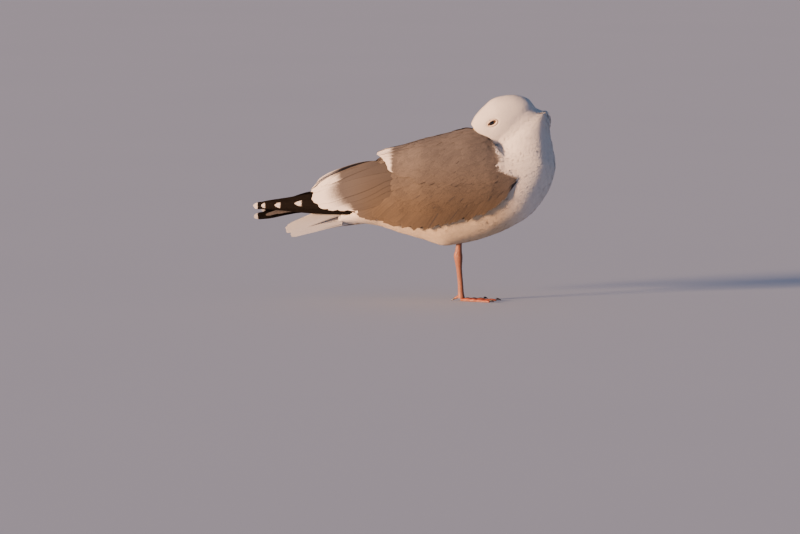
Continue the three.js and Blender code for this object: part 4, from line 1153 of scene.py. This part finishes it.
# %% The tail's feathers
def tail_feather(side, place, cells=(24, 8)):
    """Points and normals of one feather: side is -1, 0 or 1, and place is 0 on top and 1 lowest."""
    s, c, _, _ = vane_layout(*cells)
    length = 90 - 9 * place
    frays = random.normal(0, 0.008, (1, cells[1] + 1))
    along, across = vane_shape(s, c, length, mix(13.5, 9.6, place), frays, 0.9, 0.75)
    share = np.clip(along / length, 0, 1.05)
    out = side * mix(9 + 4 * place, 10.5 + 19.5 * place, share)
    fall = mix(33, 17, place) * share**1.2 + place * mix(1, 3, share)
    middle = np.stack([-190 - along, out, 148.5 - place * 18.8 - fall], -1)
    normal = unit(np.array([0.26, side * mix(0.8, 0.85, place), 1.0]))
    aside = unit(np.cross(normal, [-1.0, 0, 0]))
    points = middle + aside * across[..., None] + normal * (-across**2 / 140)[..., None]
    return points, np.broadcast_to(normal, points.shape)


feathers = [tail_feather(side, place) for place in (0, 0.08, 0.88, 1) for side in (-1, 1)]
feathers.append(tail_feather(0, 0.1))
tail_points, tail_normals = (np.array(grids) for grids in zip(*feathers))
tail_numbers = {"tint": random.random(len(feathers)) * 0.5, "shaft": 0.12}
tail_vanes = close_vanes(tail_points, tail_normals, 0.7, tail_numbers, soft=0.85)
mesh_piece("tail_coat", [tail_vanes], white_plumage, ["tail"])

# %% Undertail coverts
undertail_sheet = level_sheet([
    [-150, 20, 135, -9], [-175, 18, 133, -9], [-200, 17, 130, -9], [-225, 17, 124, -8], [-250, 18, 118, -7],
])
undertail = strewn_on(undertail_sheet, (0.0, 0.04), (0.5, 1.0), (0.14, 0.16), (0.34, 0.0), 8.5, (0.3, -0.3),
                      cells=(10, 6), wobble=0.06, jag=0.03, soft=0.95, large=True)
mesh_piece("undertail_coat", [undertail], white_plumage)

# %% [markdown]
# ## Small lofted pieces
#
# Bill, eyes, lids, legs and claws are all rings of points joined one to the next. One function takes the
# rings and a point for each end, closes them into a mesh and maps it round and along, which the finishes
# then read.


# %% Rings to a closed piece
def turn_outward(mesh):
    """Faces that came out inside out are turned over."""
    whole = bmesh.new()
    whole.from_mesh(mesh)
    if whole.calc_volume(signed=True) < 0:
        bmesh.ops.reverse_faces(whole, faces=whole.faces)
    whole.to_mesh(mesh)
    whole.free()


def ringed(name, rings, ends, finish, replaced=()):
    """A closed piece from rings (ring, corner, xyz) and two ends. Without ends the rings form a loop."""
    count, around = rings.shape[:2]
    verts = rings.reshape(-1, 3)
    along, turn = crossed(np.arange(count) / (count - 1), np.arange(around) / around)
    place = np.stack([turn, along], -1).reshape(-1, 2)
    if ends is None:
        at = np.arange(count * around).reshape(count, around)
        faces = ring_quads(at, np.roll(at, -1, 0))
    else:
        faces = closed_faces(count, around)
        verts = np.vstack([verts, ends])
        place = np.vstack([place, [[0.5, 0], [0.5, 1]]])
    mesh = bpy.data.meshes.new(name)
    mesh.from_pydata((verts * MM).tolist(), [], faces)
    corner = read(mesh.loops, "vertex_index", 1, np.int32)
    mesh.uv_layers.new(name="Vane").data.foreach_set("uv", place[corner].astype(np.float32).ravel())
    turn_outward(mesh)
    mesh.shade_smooth()
    return dressed(name, mesh, finish, replaced)


# %% [markdown]
# ## Eyes and lids
#
# The eyeball bulges at the cornea, with a dark pupil and an iris painted dark brown as the shade inside the
# narrow slit, and it is wet, so it has a clear coat. Each lid pair is one ring of bare, pale skin with fine
# wrinkles. Its inner rim rests on the eyeball and leaves the narrow slit of a dozing bird open, and its
# outer rim goes under the feathers.

# %% Finishes of eye and lids
wet_eye = Finish("wet eye", Roughness=0.08, Coat_Weight=1.0, Coat_Roughness=0.03)
eye_along = wet_eye.axis(wet_eye.place("Vane"), 1)
# The iris is painted dark brown as painted shade inside the narrow slit.
pupil, shaded_iris, iris_rim = rgb(0.004, 0.003, 0.003), rgb(0.085, 0.034, 0.012), rgb(0.02, 0.012, 0.008)
eye_colour = wet_eye.mix(pupil, shaded_iris, wet_eye.step(eye_along, 0.16, 0.19))
eye_finish = wet_eye.finished(wet_eye.mix(eye_colour, iris_rim, wet_eye.step(eye_along, 0.3, 0.34)))

lid = Finish("eyelid skin", Roughness=0.5, Specular_IOR_Level=0.35)
lid_across = lid.axis(lid.place("Vane"), 0)
lid_grain = lid.noise(lid.place(), 900.0, 3.0)
lid_colour = lid.mix(rgb(0.76, 0.66, 0.56), rgb(0.68, 0.57, 0.47), lid_grain)
lid_colour = lid.mix(rgb(0.07, 0.035, 0.022), lid_colour, lid.step(lid_across, 0.015, 0.07))
lid_outline = lid.step(lid_across, 0.30, 0.36) * lid.step(1.0 - lid_across, 0.56, 0.60)
lid_colour = lid.mix(lid_colour, rgb(0.36, 0.27, 0.21), lid_outline * 0.8)
lid_finish = lid.finished(lid_colour, height=lid_grain)


# %% Eyeballs
EYE_SUNK = 0.9


def eyeball(side):
    """Rings from the cornea, which bulges by 0.3 mm, to the back of the ball."""
    theta = np.linspace(0.02, math.pi - 0.02, 40)[:, None]
    phi = np.arange(48) * FULL_TURN / 48
    reach = EYE_RADIUS + 0.3 * np.exp(-((theta / 0.55) ** 2))
    out = CHEEK - EYE_RADIUS - EYE_SUNK + reach * np.cos(theta) + 0 * phi
    x = EYE_PLACE[0] + reach * np.sin(theta) * np.cos(phi)
    z = EYE_PLACE[2] + reach * np.sin(theta) * np.sin(phi)
    rings = in_head(np.stack([x, side * out, z], -1))
    return rings, rings[[0, -1]].mean(1)


# %% How far the cheek stands out
straight_head = plain_head(*round_grid(160, 140)).reshape(-1, 3)
head_at = np.arange(len(straight_head)).reshape(160, 140)
cheek_tree = BVHTree.FromPolygons(straight_head.tolist(), ring_quads(head_at[:-1], head_at[1:]))


def cheek_height(x, z):
    """How far the straight head's cheek stands out at each x and z."""
    places = zip(x.ravel(), z.ravel())
    hits = [cheek_tree.ray_cast(Vector((a, 80, b)), Vector((0, -1, 0)))[0] for a, b in places]
    return np.array([hit[1] if hit else CHEEK for hit in hits]).reshape(x.shape)


# %% The ring of the lids
def lid_ring(side):
    """Sections across the lids, all the way round the eye."""
    phi = np.linspace(0, FULL_TURN, 96, endpoint=False)[:, None]
    slit = np.where(np.sin(phi) > 0, 3.2, 2.6) * np.abs(np.sin(phi)) ** 1.5 * np.sign(np.sin(phi))
    q = np.linspace(0, 1, 15)[None]
    along = mix(7.0 * np.cos(phi), LID_LONG * np.cos(phi), q)
    above = mix(slit, LID_HIGH * np.sin(phi), q)
    cos, sin = math.cos(EYE_TILT), math.sin(EYE_TILT)
    x = EYE_PLACE[0] + along * cos - above * sin
    z = EYE_PLACE[2] + along * sin + above * cos
    dome = np.sqrt(np.clip(EYE_RADIUS**2 - along**2 - above**2, 0, None))
    ball = CHEEK - EYE_SUNK - EYE_RADIUS + dome + 0.3
    cheek = cheek_height(x, z)
    skin_level = mix(ball + 0.1, cheek - 0.2, smoothstep(q, 0.0, 0.55)) - 1.2 * smoothstep(q, 0.75, 1.0)
    bulge = 0.75 * np.sin(math.pi * np.clip(q * 1.25, 0, 1)) ** 0.8
    wrinkle = 0.10 * np.sin(q * 26 + 2 * np.sin(phi)) * smoothstep(q, 0.1, 0.3)
    top = skin_level + bulge + wrinkle
    under = skin_level - 0.9 * np.sin(math.pi * q)
    section = np.concatenate([np.stack([x, top, z], -1), np.stack([x, under, z], -1)[:, -2:0:-1]], 1)
    section[..., 1] *= side
    return in_head(section)


for side, word in ((-1, "right"), (1, "left")):
    ball_rings, ball_ends = eyeball(side)
    ringed(f"eyeball_{word}", ball_rings, ball_ends, eye_finish, [f"eye_{word}"])
    ringed(f"lids_{word}", lid_ring(side), None, lid_finish)

# %% [markdown]
# ## Bill
#
# The bill is a strong yellow wedge with a hooked tip, a bulge under the lower half with a red spot, and a
# slot of a nostril on each side. Almost all of it lies hidden between the shoulder feathers, but it can be
# seen from above. Each half is lofted along the bill's own axis from sections of its depth and width.

# %% The bill's finish
horn_yellow = Finish("yellow bill", Roughness=0.32, Coat_Weight=0.2, Coat_Roughness=0.2)
bill_grain = horn_yellow.noise(horn_yellow.place(), 180.0, 4.0)
bill_along = horn_yellow.axis(horn_yellow.place("Vane"), 1)
bill_colour = horn_yellow.mix(rgb(0.72, 0.47, 0.10), rgb(0.62, 0.38, 0.09), bill_grain)
bill_colour = horn_yellow.mix(bill_colour, rgb(0.66, 0.55, 0.30), horn_yellow.step(bill_along, 0.86, 1.0))
bill_spot = horn_yellow.step(horn_yellow.each("spot") + bill_grain * 0.3, 0.5, 0.8)
bill_colour = horn_yellow.mix(bill_colour, rgb(0.55, 0.05, 0.02), bill_spot)
bill_finish = horn_yellow.finished(bill_colour, height=bill_grain, depth=0.0003)

# %% The bill's sizes
BILL_ROOT = np.array([22.0, 0, 266])
BILL_WAY = unit(np.array([-0.86, 0, -0.51]))
BILL_UP = np.array([BILL_WAY[2], 0, -BILL_WAY[0]])
BILL_LENGTH, BILL_DEPTH, BILL_WIDTH = 57.0, 18.5, 13.5
BILL_GAP, NOSTRIL, RED_SPOT = 0.15, 0.44, 0.7
# Each row: share of the bill's length, depth over its axis, width, and how far the hook drops.
UPPER_BILL = np.array([
    [-0.12, 0.56, 1, 0], [0, 0.55, 1, 0], [0.2, 0.5, 0.9, 0], [0.4, 0.45, 0.78, 0], [0.6, 0.44, 0.66, 0],
    [0.76, 0.43, 0.54, 0], [0.88, 0.36, 0.42, 0], [0.945, 0.3, 0.34, 0.04], [0.985, 0.26, 0.26, 0.14],
    [1, 0.16, 0.16, 0.25],
])
LOWER_BILL = np.array([
    [-0.12, -0.4, 0.96, 0], [0, -0.4, 0.96, 0], [0.25, -0.38, 0.86, 0], [0.5, -0.38, 0.72, 0],
    [0.66, -0.42, 0.62, 0], [0.78, -0.36, 0.48, 0], [0.88, -0.2, 0.34, 0], [0.93, -0.08, 0.2, 0],
])


# %% Half a bill from its outline
def mandible(name, outline, node):
    """Half a bill: rounded over its outer side and nearly flat where the halves meet."""
    t = np.linspace(0, 1, 60)
    share, depth, width, drop = (smooth_values(outline[:, column])(t)[:, None] for column in range(4))
    angle = np.concatenate([np.linspace(0, math.pi, 28), np.linspace(math.pi, FULL_TURN, 10)[1:-1]])
    lift = np.where(angle <= math.pi, np.sin(angle), 0.02 * np.sin(angle)) * depth * BILL_DEPTH
    lift = lift - drop * BILL_DEPTH + np.sign(depth) * BILL_GAP
    aside = np.cos(angle) * width * BILL_WIDTH / 2
    slot = np.exp(-(((share - NOSTRIL) / 0.075) ** 2) - ((lift - 0.2 * BILL_DEPTH) / 0.9) ** 2) * (depth > 0)
    aside = aside * (1 - 0.3 * slot)
    centre = BILL_ROOT + BILL_WAY * share * BILL_LENGTH
    rings = centre[:, None] + BILL_UP * lift[..., None] + np.array([0, 1.0, 0]) * aside[..., None]
    rings = in_head(rings)
    piece = ringed(name, rings, rings[[0, -1]].mean(1), bill_finish, [node])
    low = np.clip(-lift / (0.42 * BILL_DEPTH), 0, 1)
    red = np.exp(-(((share - RED_SPOT) / 0.09) ** 2)) * low * (depth < 0)
    store(piece.data, "spot", np.append(red.ravel(), [0, 0]))


mandible("upper_bill", UPPER_BILL, "bill_upper")
mandible("lower_bill", LOWER_BILL, "bill_lower")

# %% [markdown]
# ## Legs and feet
#
# A gull's leg is bare below the heel joint. Its skin is pinkish orange and scaled: broad plates down the
# front, small ones behind, and a row of plates along each toe. The plates are raised on the mesh itself,
# and the finish darkens the grooves. Thin webs join the toes, and each toe ends in a small black claw.

# %% Finishes of legs and claws
scaled = Finish("scaled leg skin", Roughness=0.42, Specular_IOR_Level=0.5)
leg_cells = scaled.node("ShaderNodeTexVoronoi", {"feature": "DISTANCE_TO_EDGE"},
                        {"Vector": scaled.place(), "Scale": 620.0})
leg_cloud = scaled.noise(scaled.place(), 120.0, 3.0)
leg_colour = scaled.mix(rgb(0.31, 0.145, 0.09), rgb(0.24, 0.088, 0.05), leg_cloud)
leg_colour = scaled.mix(rgb(0.22, 0.07, 0.04), leg_colour, scaled.step(leg_cells, 0.0, 0.09))
leg_colour = scaled.mix(leg_colour, rgb(0.36, 0.065, 0.03), scaled.each("red") * 0.7)
leg_relief = scaled.step(leg_cells, 0.0, 0.14)
leg_finish = scaled.finished(leg_colour, height=leg_relief, depth=0.00025, strength=0.7)

claw_horn = Finish("black claw horn", Roughness=0.3, Coat_Weight=0.15, Coat_Roughness=0.2)
claw_grain = claw_horn.noise(claw_horn.place(), 700.0, 3.0)
claw_colour = claw_horn.mix(rgb(0.012, 0.010, 0.009), rgb(0.035, 0.026, 0.022), claw_grain)
claw_finish = claw_horn.finished(claw_colour, height=claw_grain)


# %% Limbs as rings
def limb_rings(stations, steps, around, plates=0, ridge=0.0):
    """Elliptical rings along stations of [x, y, z, depth, width], with raised plates on the front."""
    rows = np.asarray(stations, float)
    t = np.linspace(0, 1, steps)
    line = through(rows[:, :3])
    depth, width = smooth_values(rows[:, 3])(t), smooth_values(rows[:, 4])(t)
    axis = unit(line(np.clip(t + 0.01, 0, 1)) - line(np.clip(t - 0.01, 0, 1)))
    run = unit(rows[-1, :3] - rows[0, :3])
    ahead = np.array([0, 0, 1.0]) if abs(run[0]) > 0.7 else np.array([1.0, 0, 0])
    forward = unit(ahead - axis * (axis @ ahead)[:, None])
    aside = np.cross(axis, forward)
    angle = np.arange(around) * FULL_TURN / around
    front = smoothstep(np.cos(angle), 0.0, 0.6)
    plate = np.abs(((t * plates) % 1) * 2 - 1)[:, None] ** 6
    swell = 1 - ridge * plate * front
    fore = (np.cos(angle) * swell * depth[:, None] / 2)[..., None]
    across = (np.sin(angle) * swell * width[:, None] / 2)[..., None]
    return line(t)[:, None] + (forward[:, None] * fore + aside[:, None] * across), axis


# %% Limbs as pieces
def limb_piece(name, stations, steps, around, domes, finish, slot, replaced=(), on_floor=False, **plates):
    """A limb with domed ends. What stands on the floor is cut flat there, and skin is redder on one side."""
    rings, axis = limb_rings(stations, steps, around, **plates)
    ends = np.array([rings[0].mean(0) - axis[0] * domes[0], rings[-1].mean(0) + axis[-1] * domes[1]])
    if on_floor:
        rings[..., 2] = np.maximum(rings[..., 2], 0.0)
        ends[:, 2] = np.maximum(ends[:, 2], 0.0)
    piece = ringed(name, rings, ends, finish, replaced)
    if finish is leg_finish:
        red = smoothstep(np.cos(np.arange(around) * FULL_TURN / around - 0.9), 0.75, 1.0)
        store(piece.data, "red", np.append(np.tile(red, steps), [0, 0]))


def leg_piece(name, stations, steps, around, domes, replaced=(), **rest):
    limb_piece(name, stations, steps, around, domes, leg_finish, "leg_skin", replaced, **rest)


def claw_piece(name, stations, steps, around, domes, replaced=(), **rest):
    limb_piece(name, stations, steps, around, domes, claw_finish, "claw_horn", replaced, **rest)


# %% The standing leg
FOOT = np.array([0.0, -2.0, 0.0])
TARSUS_DEPTH, TARSUS_WIDTH, ANKLE_DEPTH, ANKLE_HEIGHT = 8.6, 6.4, 14.0, 73.0
shank = [
    [0.5, -2, 5, TARSUS_DEPTH + 3, TARSUS_WIDTH + 4], [0, -2, 12, TARSUS_DEPTH + 1, TARSUS_WIDTH + 1.2],
    [-1, -2, 30, TARSUS_DEPTH, TARSUS_WIDTH], [-3, -3, 52, TARSUS_DEPTH + 0.6, TARSUS_WIDTH + 0.4],
    [-4, -4, ANKLE_HEIGHT - 6, ANKLE_DEPTH - 1, TARSUS_WIDTH + 3.4],
    [-4.5, -4, ANKLE_HEIGHT, ANKLE_DEPTH, TARSUS_WIDTH + 4],
    [-4, -5, ANKLE_HEIGHT + 7, ANKLE_DEPTH - 3, TARSUS_WIDTH + 2.4],
    [-3, -6, ANKLE_HEIGHT + 20, ANKLE_DEPTH - 5, TARSUS_WIDTH + 2],
    [-2, -8, ANKLE_HEIGHT + 32, ANKLE_DEPTH - 4, TARSUS_WIDTH + 3],
]
leg_piece("shank_right", shank, 150, 36, (1, 1), ["leg_right_shank"], plates=27, ridge=0.09)
hind_toe = [[-1, 0.4, 8.4, 5, 5], [-6, 1.8, 6, 4.4, 4], [-9.8, 2.8, 3.8, 3.6, 3.2]]
leg_piece("hind_toe_right", hind_toe, 24, 20, (1, 1), plates=5, ridge=0.08)
hind_claw = [[-10.4, 3, 3.5, 2.8, 2.4], [-12.9, 3.7, 2.2, 2.1, 1.8], [-14.8, 4.2, 0.5, 1.2, 1.1]]
claw_piece("hind_claw_right", hind_claw, 16, 16, (0.2, 0.3), ["claw_right_hind"], on_floor=True)

# %% Toes and claws
MIDDLE_TOE = 56
# Each toe: degrees to the left of ahead, length, and joints.
TOES = {
    "inner": (33, MIDDLE_TOE * 0.78, 3),
    "middle": (2, MIDDLE_TOE, 3),
    "outer": (-30, MIDDLE_TOE * 0.93, 4),
}


def toe_spot(degrees, far):
    """X and Y of a place so far along a toe that points so many degrees to the left of ahead."""
    way = np.array([math.cos(math.radians(degrees)), math.sin(math.radians(degrees)), 0])
    return (FOOT + way * far)[:2]


def toe_stations(degrees, length, joints):
    """A toe that is thick at its joints and thinner between them."""
    count = joints * 2 + 1
    stations = []
    for i in range(count + 1):
        share = i / count
        size = mix(7.4, 4.6, share) * (1 if i % 2 == 0 else 0.84)
        stations.append([*toe_spot(degrees, 1 + (length - 1) * share), size / 2 - 1.0, size * 0.92, size])
    return stations


for name, (degrees, length, joints) in TOES.items():
    leg_piece(f"toe_right_{name}", toe_stations(degrees, length, joints), 90, 24, (2, 1.5),
              ["leg_right_foot"] if name == "middle" else (), on_floor=True, plates=round(length / 2.3),
              ridge=0.1)
    claw = [[*toe_spot(degrees, length + on), height, size, size * 0.8]
            for on, height, size in ((0.8, 3.1, 3.5), (3, 3.2, 3), (6, 2.3, 1.9), (8.2, 1.0, 0.8))]
    claw_piece(f"claw_{name}_right", claw, 24, 18, (0.2, 0.4), [f"claw_right_{name}"], on_floor=True)


# %% Webs
def web(name, first, second):
    """A thin membrane between two toes, with a hollow free edge and fine folds along it."""
    r, q = crossed(np.linspace(0.08, 1, 26), np.linspace(0, 1, 31))
    reach = mix(first[1], second[1], q) * 0.97 * (1 - 0.2 * np.sin(math.pi * q))
    turn = np.radians(mix(first[0], second[0], q))
    sag = 1.7 - 0.7 * np.sin(math.pi * q) + 0.12 * np.sin(q * 40 + 3 * r) * np.sin(math.pi * q)
    grid = np.stack([FOOT[0] + np.cos(turn) * reach * r, FOOT[1] + np.sin(turn) * reach * r, sag], -1)[None]
    up = np.broadcast_to([0, 0, 1.0], grid.shape)
    if np.cross(grid[0, 5, 5] - grid[0, 4, 5], grid[0, 4, 6] - grid[0, 4, 5])[2] < 0:
        grid = grid[:, :, ::-1]
    mesh_piece(name, [close_vanes(grid, up, 0.8, {"tint": 0.3}, soft=0.0)], leg_finish)


web("web_inner_right", TOES["middle"], TOES["inner"])
web("web_outer_right", TOES["outer"], TOES["middle"])

# %% [markdown]
# ## The leg that is drawn up
#
# The left leg is folded under the belly, with the shank along it and the toes closed together, half sunk in
# the feathers. Its line follows the body's own loft, a little outside its surface.

# %% The tucked leg
TUCK_ANGLE, TUCK_FROM, TUCK_TO = math.radians(152), 0.3, 0.47


def tuck_point(t, sink):
    """A place along the body's loft, sunk so many mm under its surface."""
    outer = body_skin(t, TUCK_ANGLE)
    inner = body_skin(t, TUCK_ANGLE, -10)
    return mix(outer, inner, sink / np.linalg.norm(outer - inner))


tucked = []
for s, extra in ((0, 4.4), (0.12, 3), (0.35, 0), (0.65, 0), (0.88, 1), (1, 2)):
    place = tuck_point(mix(TUCK_FROM, TUCK_TO, s), 1.2)
    tucked.append([*place, TARSUS_DEPTH + extra, TARSUS_WIDTH + extra * 0.6])
leg_piece("shank_left", tucked, 110, 30, (3, 2), ["leg_left_shank"], plates=24, ridge=0.08)

# %% The closed toes
TOES_FROM = TUCK_TO + 0.018
TUCKED_TOES = {"inner": (-1, 0.1), "middle": (0, 0.125), "outer": (1, 0.115)}


def tucked_spot(t, sink, aside):
    return tuck_point(t, sink) + [0, aside, max(0, aside) * 0.5]


for name, (lane, length) in TUCKED_TOES.items():
    stations = []
    for s in (0, 0.25, 0.5, 0.75, 1):
        size = mix(6, 3.6, s)
        stations.append([*tucked_spot(TOES_FROM + s * length, 0.6, lane * mix(2.4, 4.2, s)), size, size])
    leg_piece(f"toe_left_{name}", stations, 60, 22, (2, 1.4), ["leg_left_foot"] if name == "middle" else (),
              plates=14, ridge=0.1)
    claw = [[*tucked_spot(TOES_FROM + length + on, 0, lane * 4.2), size, size * 0.8]
            for on, size in ((0.008, 2.5), (0.014, 2.2), (0.024, 0.9))]
    claw_piece(f"claw_{name}_left", claw, 18, 16, (0.2, 0.3), [f"claw_left_{name}"])

# %% [markdown]
# ## The white coat
#
# Where the wings and shoulder feathers lie over the body nothing could grow out, so a root is left bare if
# a line straight out from it, and one from its feather's tip, both meet the wing. Beside the wing the coat
# banks up to the wing's own surface, and at the shoulder the neck's feathers run on over the grey. The leg
# that is drawn up is closed over in the same way. The rest becomes the coat, in pieces for the head, the
# neck, the breast, the belly and the rear.

# %% Heights over the skin
def standing(tree, reach=24.0):
    """How high the tree's outer surface stands over each corner of the skin, and 0 where it doesn't."""
    heights = np.zeros(len(skin_points))
    for k, (point, normal) in enumerate(zip(skin_points, skin_normals)):
        hit = tree.ray_cast(Vector(point + normal * reach), Vector(-normal), reach)
        if hit[0] is not None:
            heights[k] = reach - hit[3]
    return heights


def banked(heights, rounds):
    """Heights that fall off gently outside the corners that had them."""
    values = heights[:, None]
    for _ in range(rounds):
        values = np.maximum(values, relaxed(values, 1, 1.0) * 0.99)
    return relaxed(values, 3)[:, 0]


# %% The coat's outer surface
beds = [turn(slab) for slab in (wing_bed, scapular_bed, back_bed) for turn in SIDES.values()]
wing_tree = BVHTree.FromPolygons(*(array.tolist() for array in joined(beds)))
over_wing = standing(wing_tree)
x, _, z = skin_points.T
shoulder = smoothstep(z, 192, 200) * smoothstep(x, 42, 52)
beside = np.maximum(smoothstep(-z, -200, -188), shoulder)
bank = np.where((over_wing > 0) & (over_wing < 13), over_wing + mix(0.3, 1.5, shoulder), 0) * beside


def over_piece(piece):
    corners = read(piece.data.vertices, "co", 3) / MM
    faces = [list(face.vertices) for face in piece.data.polygons]
    return standing(BVHTree.FromPolygons(corners.tolist(), faces))


drawn_up = ("shank_left", "toe_left", "claw_left")
over_leg = np.max([over_piece(piece) for piece in bpy.data.objects if piece.name.startswith(drawn_up)], 0)
leg_bank = np.where(over_leg > 0, over_leg + 2.2, 0)
coat_top = np.maximum(coat_depth, np.maximum(banked(bank, 30), banked(leg_bank, 8)))
print("coat's highest bank:", round(float(coat_top.max()), 1), "mm")


# %% Roots that stay bare
root_normals = unit(at_roots(skin_normals))
root_ways = at_roots(skin_ways)
root_sizes = at_roots(feather_size)


def covered(points, reach=32):
    hits = [wing_tree.ray_cast(Vector(p), Vector(n), reach)[0] for p, n in zip(points, root_normals)]
    return np.array([hit is not None for hit in hits])


hidden = covered(roots - root_normals * 2) & covered(roots + root_ways * root_sizes[:, None] * 0.8)
hidden |= eye_oval(roots) < 1.04
leg_axis = np.hypot(roots[:, 0] + 2, roots[:, 1] + 6)
hidden |= (leg_axis < 5) & (roots[:, 2] < 130)
print("roots left bare:", int(hidden.sum()), "of", len(roots))

# %% The coat's pieces
root_on_head = at_roots(on_head[:, None].astype(float))[:, 0] > 0.5
root_body_share = at_roots(body_share[:, None])[:, 0]
NECK_FROM, BREAST_FROM, BELLY_FROM = 0.72, 0.5, 0.22
regions = {"coat_head": root_on_head}
for name, low, high in (("coat_neck", NECK_FROM, 2), ("coat_breast", BREAST_FROM, NECK_FROM),
                        ("coat_belly", BELLY_FROM, BREAST_FROM), ("coat_rear", -1, BELLY_FROM)):
    regions[name] = ~root_on_head & (root_body_share > low) & (root_body_share <= high)
for name, inside in regions.items():
    pick = np.flatnonzero(inside & ~hidden)
    cells = (4, 4) if name == "coat_head" else (5, 4)
    mesh_piece(name, [skin_vanes(pick, coat_top, cells)], white_plumage)

# %% [markdown]
# ## Floor, light and camera
#
# The floor is one wide pale plane. A large warm lamp stands low on the bird's tail side and a cool sky
# fills the shadows. The camera has a long lens, five degrees above the floor, so that the bird is seen
# nearly in side view with no strong perspective.

# %% Floor
floor_mesh = bpy.data.meshes.new("floor")
far = 40.0
floor_mesh.from_pydata([(-far, -far, 0), (far, -far, 0), (far, far, 0), (-far, far, 0)], [], [(0, 1, 2, 3)])
pale = Finish("pale floor", Roughness=0.8)
pale_cloud = pale.noise(pale.place(), 1.2)
floor_mesh.materials.append(pale.finished(pale.mix(rgb(0.47, 0.56, 0.70), rgb(0.45, 0.54, 0.68), pale_cloud)))
floor = put_in_scene("floor", floor_mesh)
print("floor:", round(2 * far), "m wide")

# %% Light
sun = bpy.data.lights.new("low_warm_light", "SUN")
sun.energy, sun.angle, sun.color = 14.0, math.radians(12), (1.0, 0.57, 0.32)
sun_way = Vector((0.86, 0.48, -0.14))
sun_holder = put_in_scene("low_warm_light", sun)
sun_holder.rotation_euler = sun_way.to_track_quat("-Z", "Y").to_euler()
world = bpy.data.worlds.new("studio sky")
world.use_nodes = True
sky = world.node_tree.nodes["Background"]
sky.inputs["Color"].default_value = rgb(0.42, 0.62, 1.0)
sky.inputs["Strength"].default_value = 0.28
bpy.context.scene.world = world
print("sun:", sun.energy, "sky:", round(sky.inputs["Strength"].default_value, 2))

# %% Camera
camera_data = bpy.data.cameras.new("camera")
camera_data.sensor_width, camera_data.lens = 36.0, 253.1
camera_data.clip_start, camera_data.clip_end = 0.1, 200.0
camera = put_in_scene("camera", camera_data)
aim = Vector((-0.0976, 0.0, 0.0544))
distance = 9.0
tilt = math.radians(5)
camera.location = aim + Vector((0, -math.cos(tilt), math.sin(tilt))) * distance
camera.rotation_euler = (math.radians(90) - tilt, 0, 0)
bpy.context.scene.camera = camera
print("camera:", distance, "m away, lens", round(camera_data.lens, 1), "mm")

# %% Bring the scene up to date
bpy.context.view_layer.update()
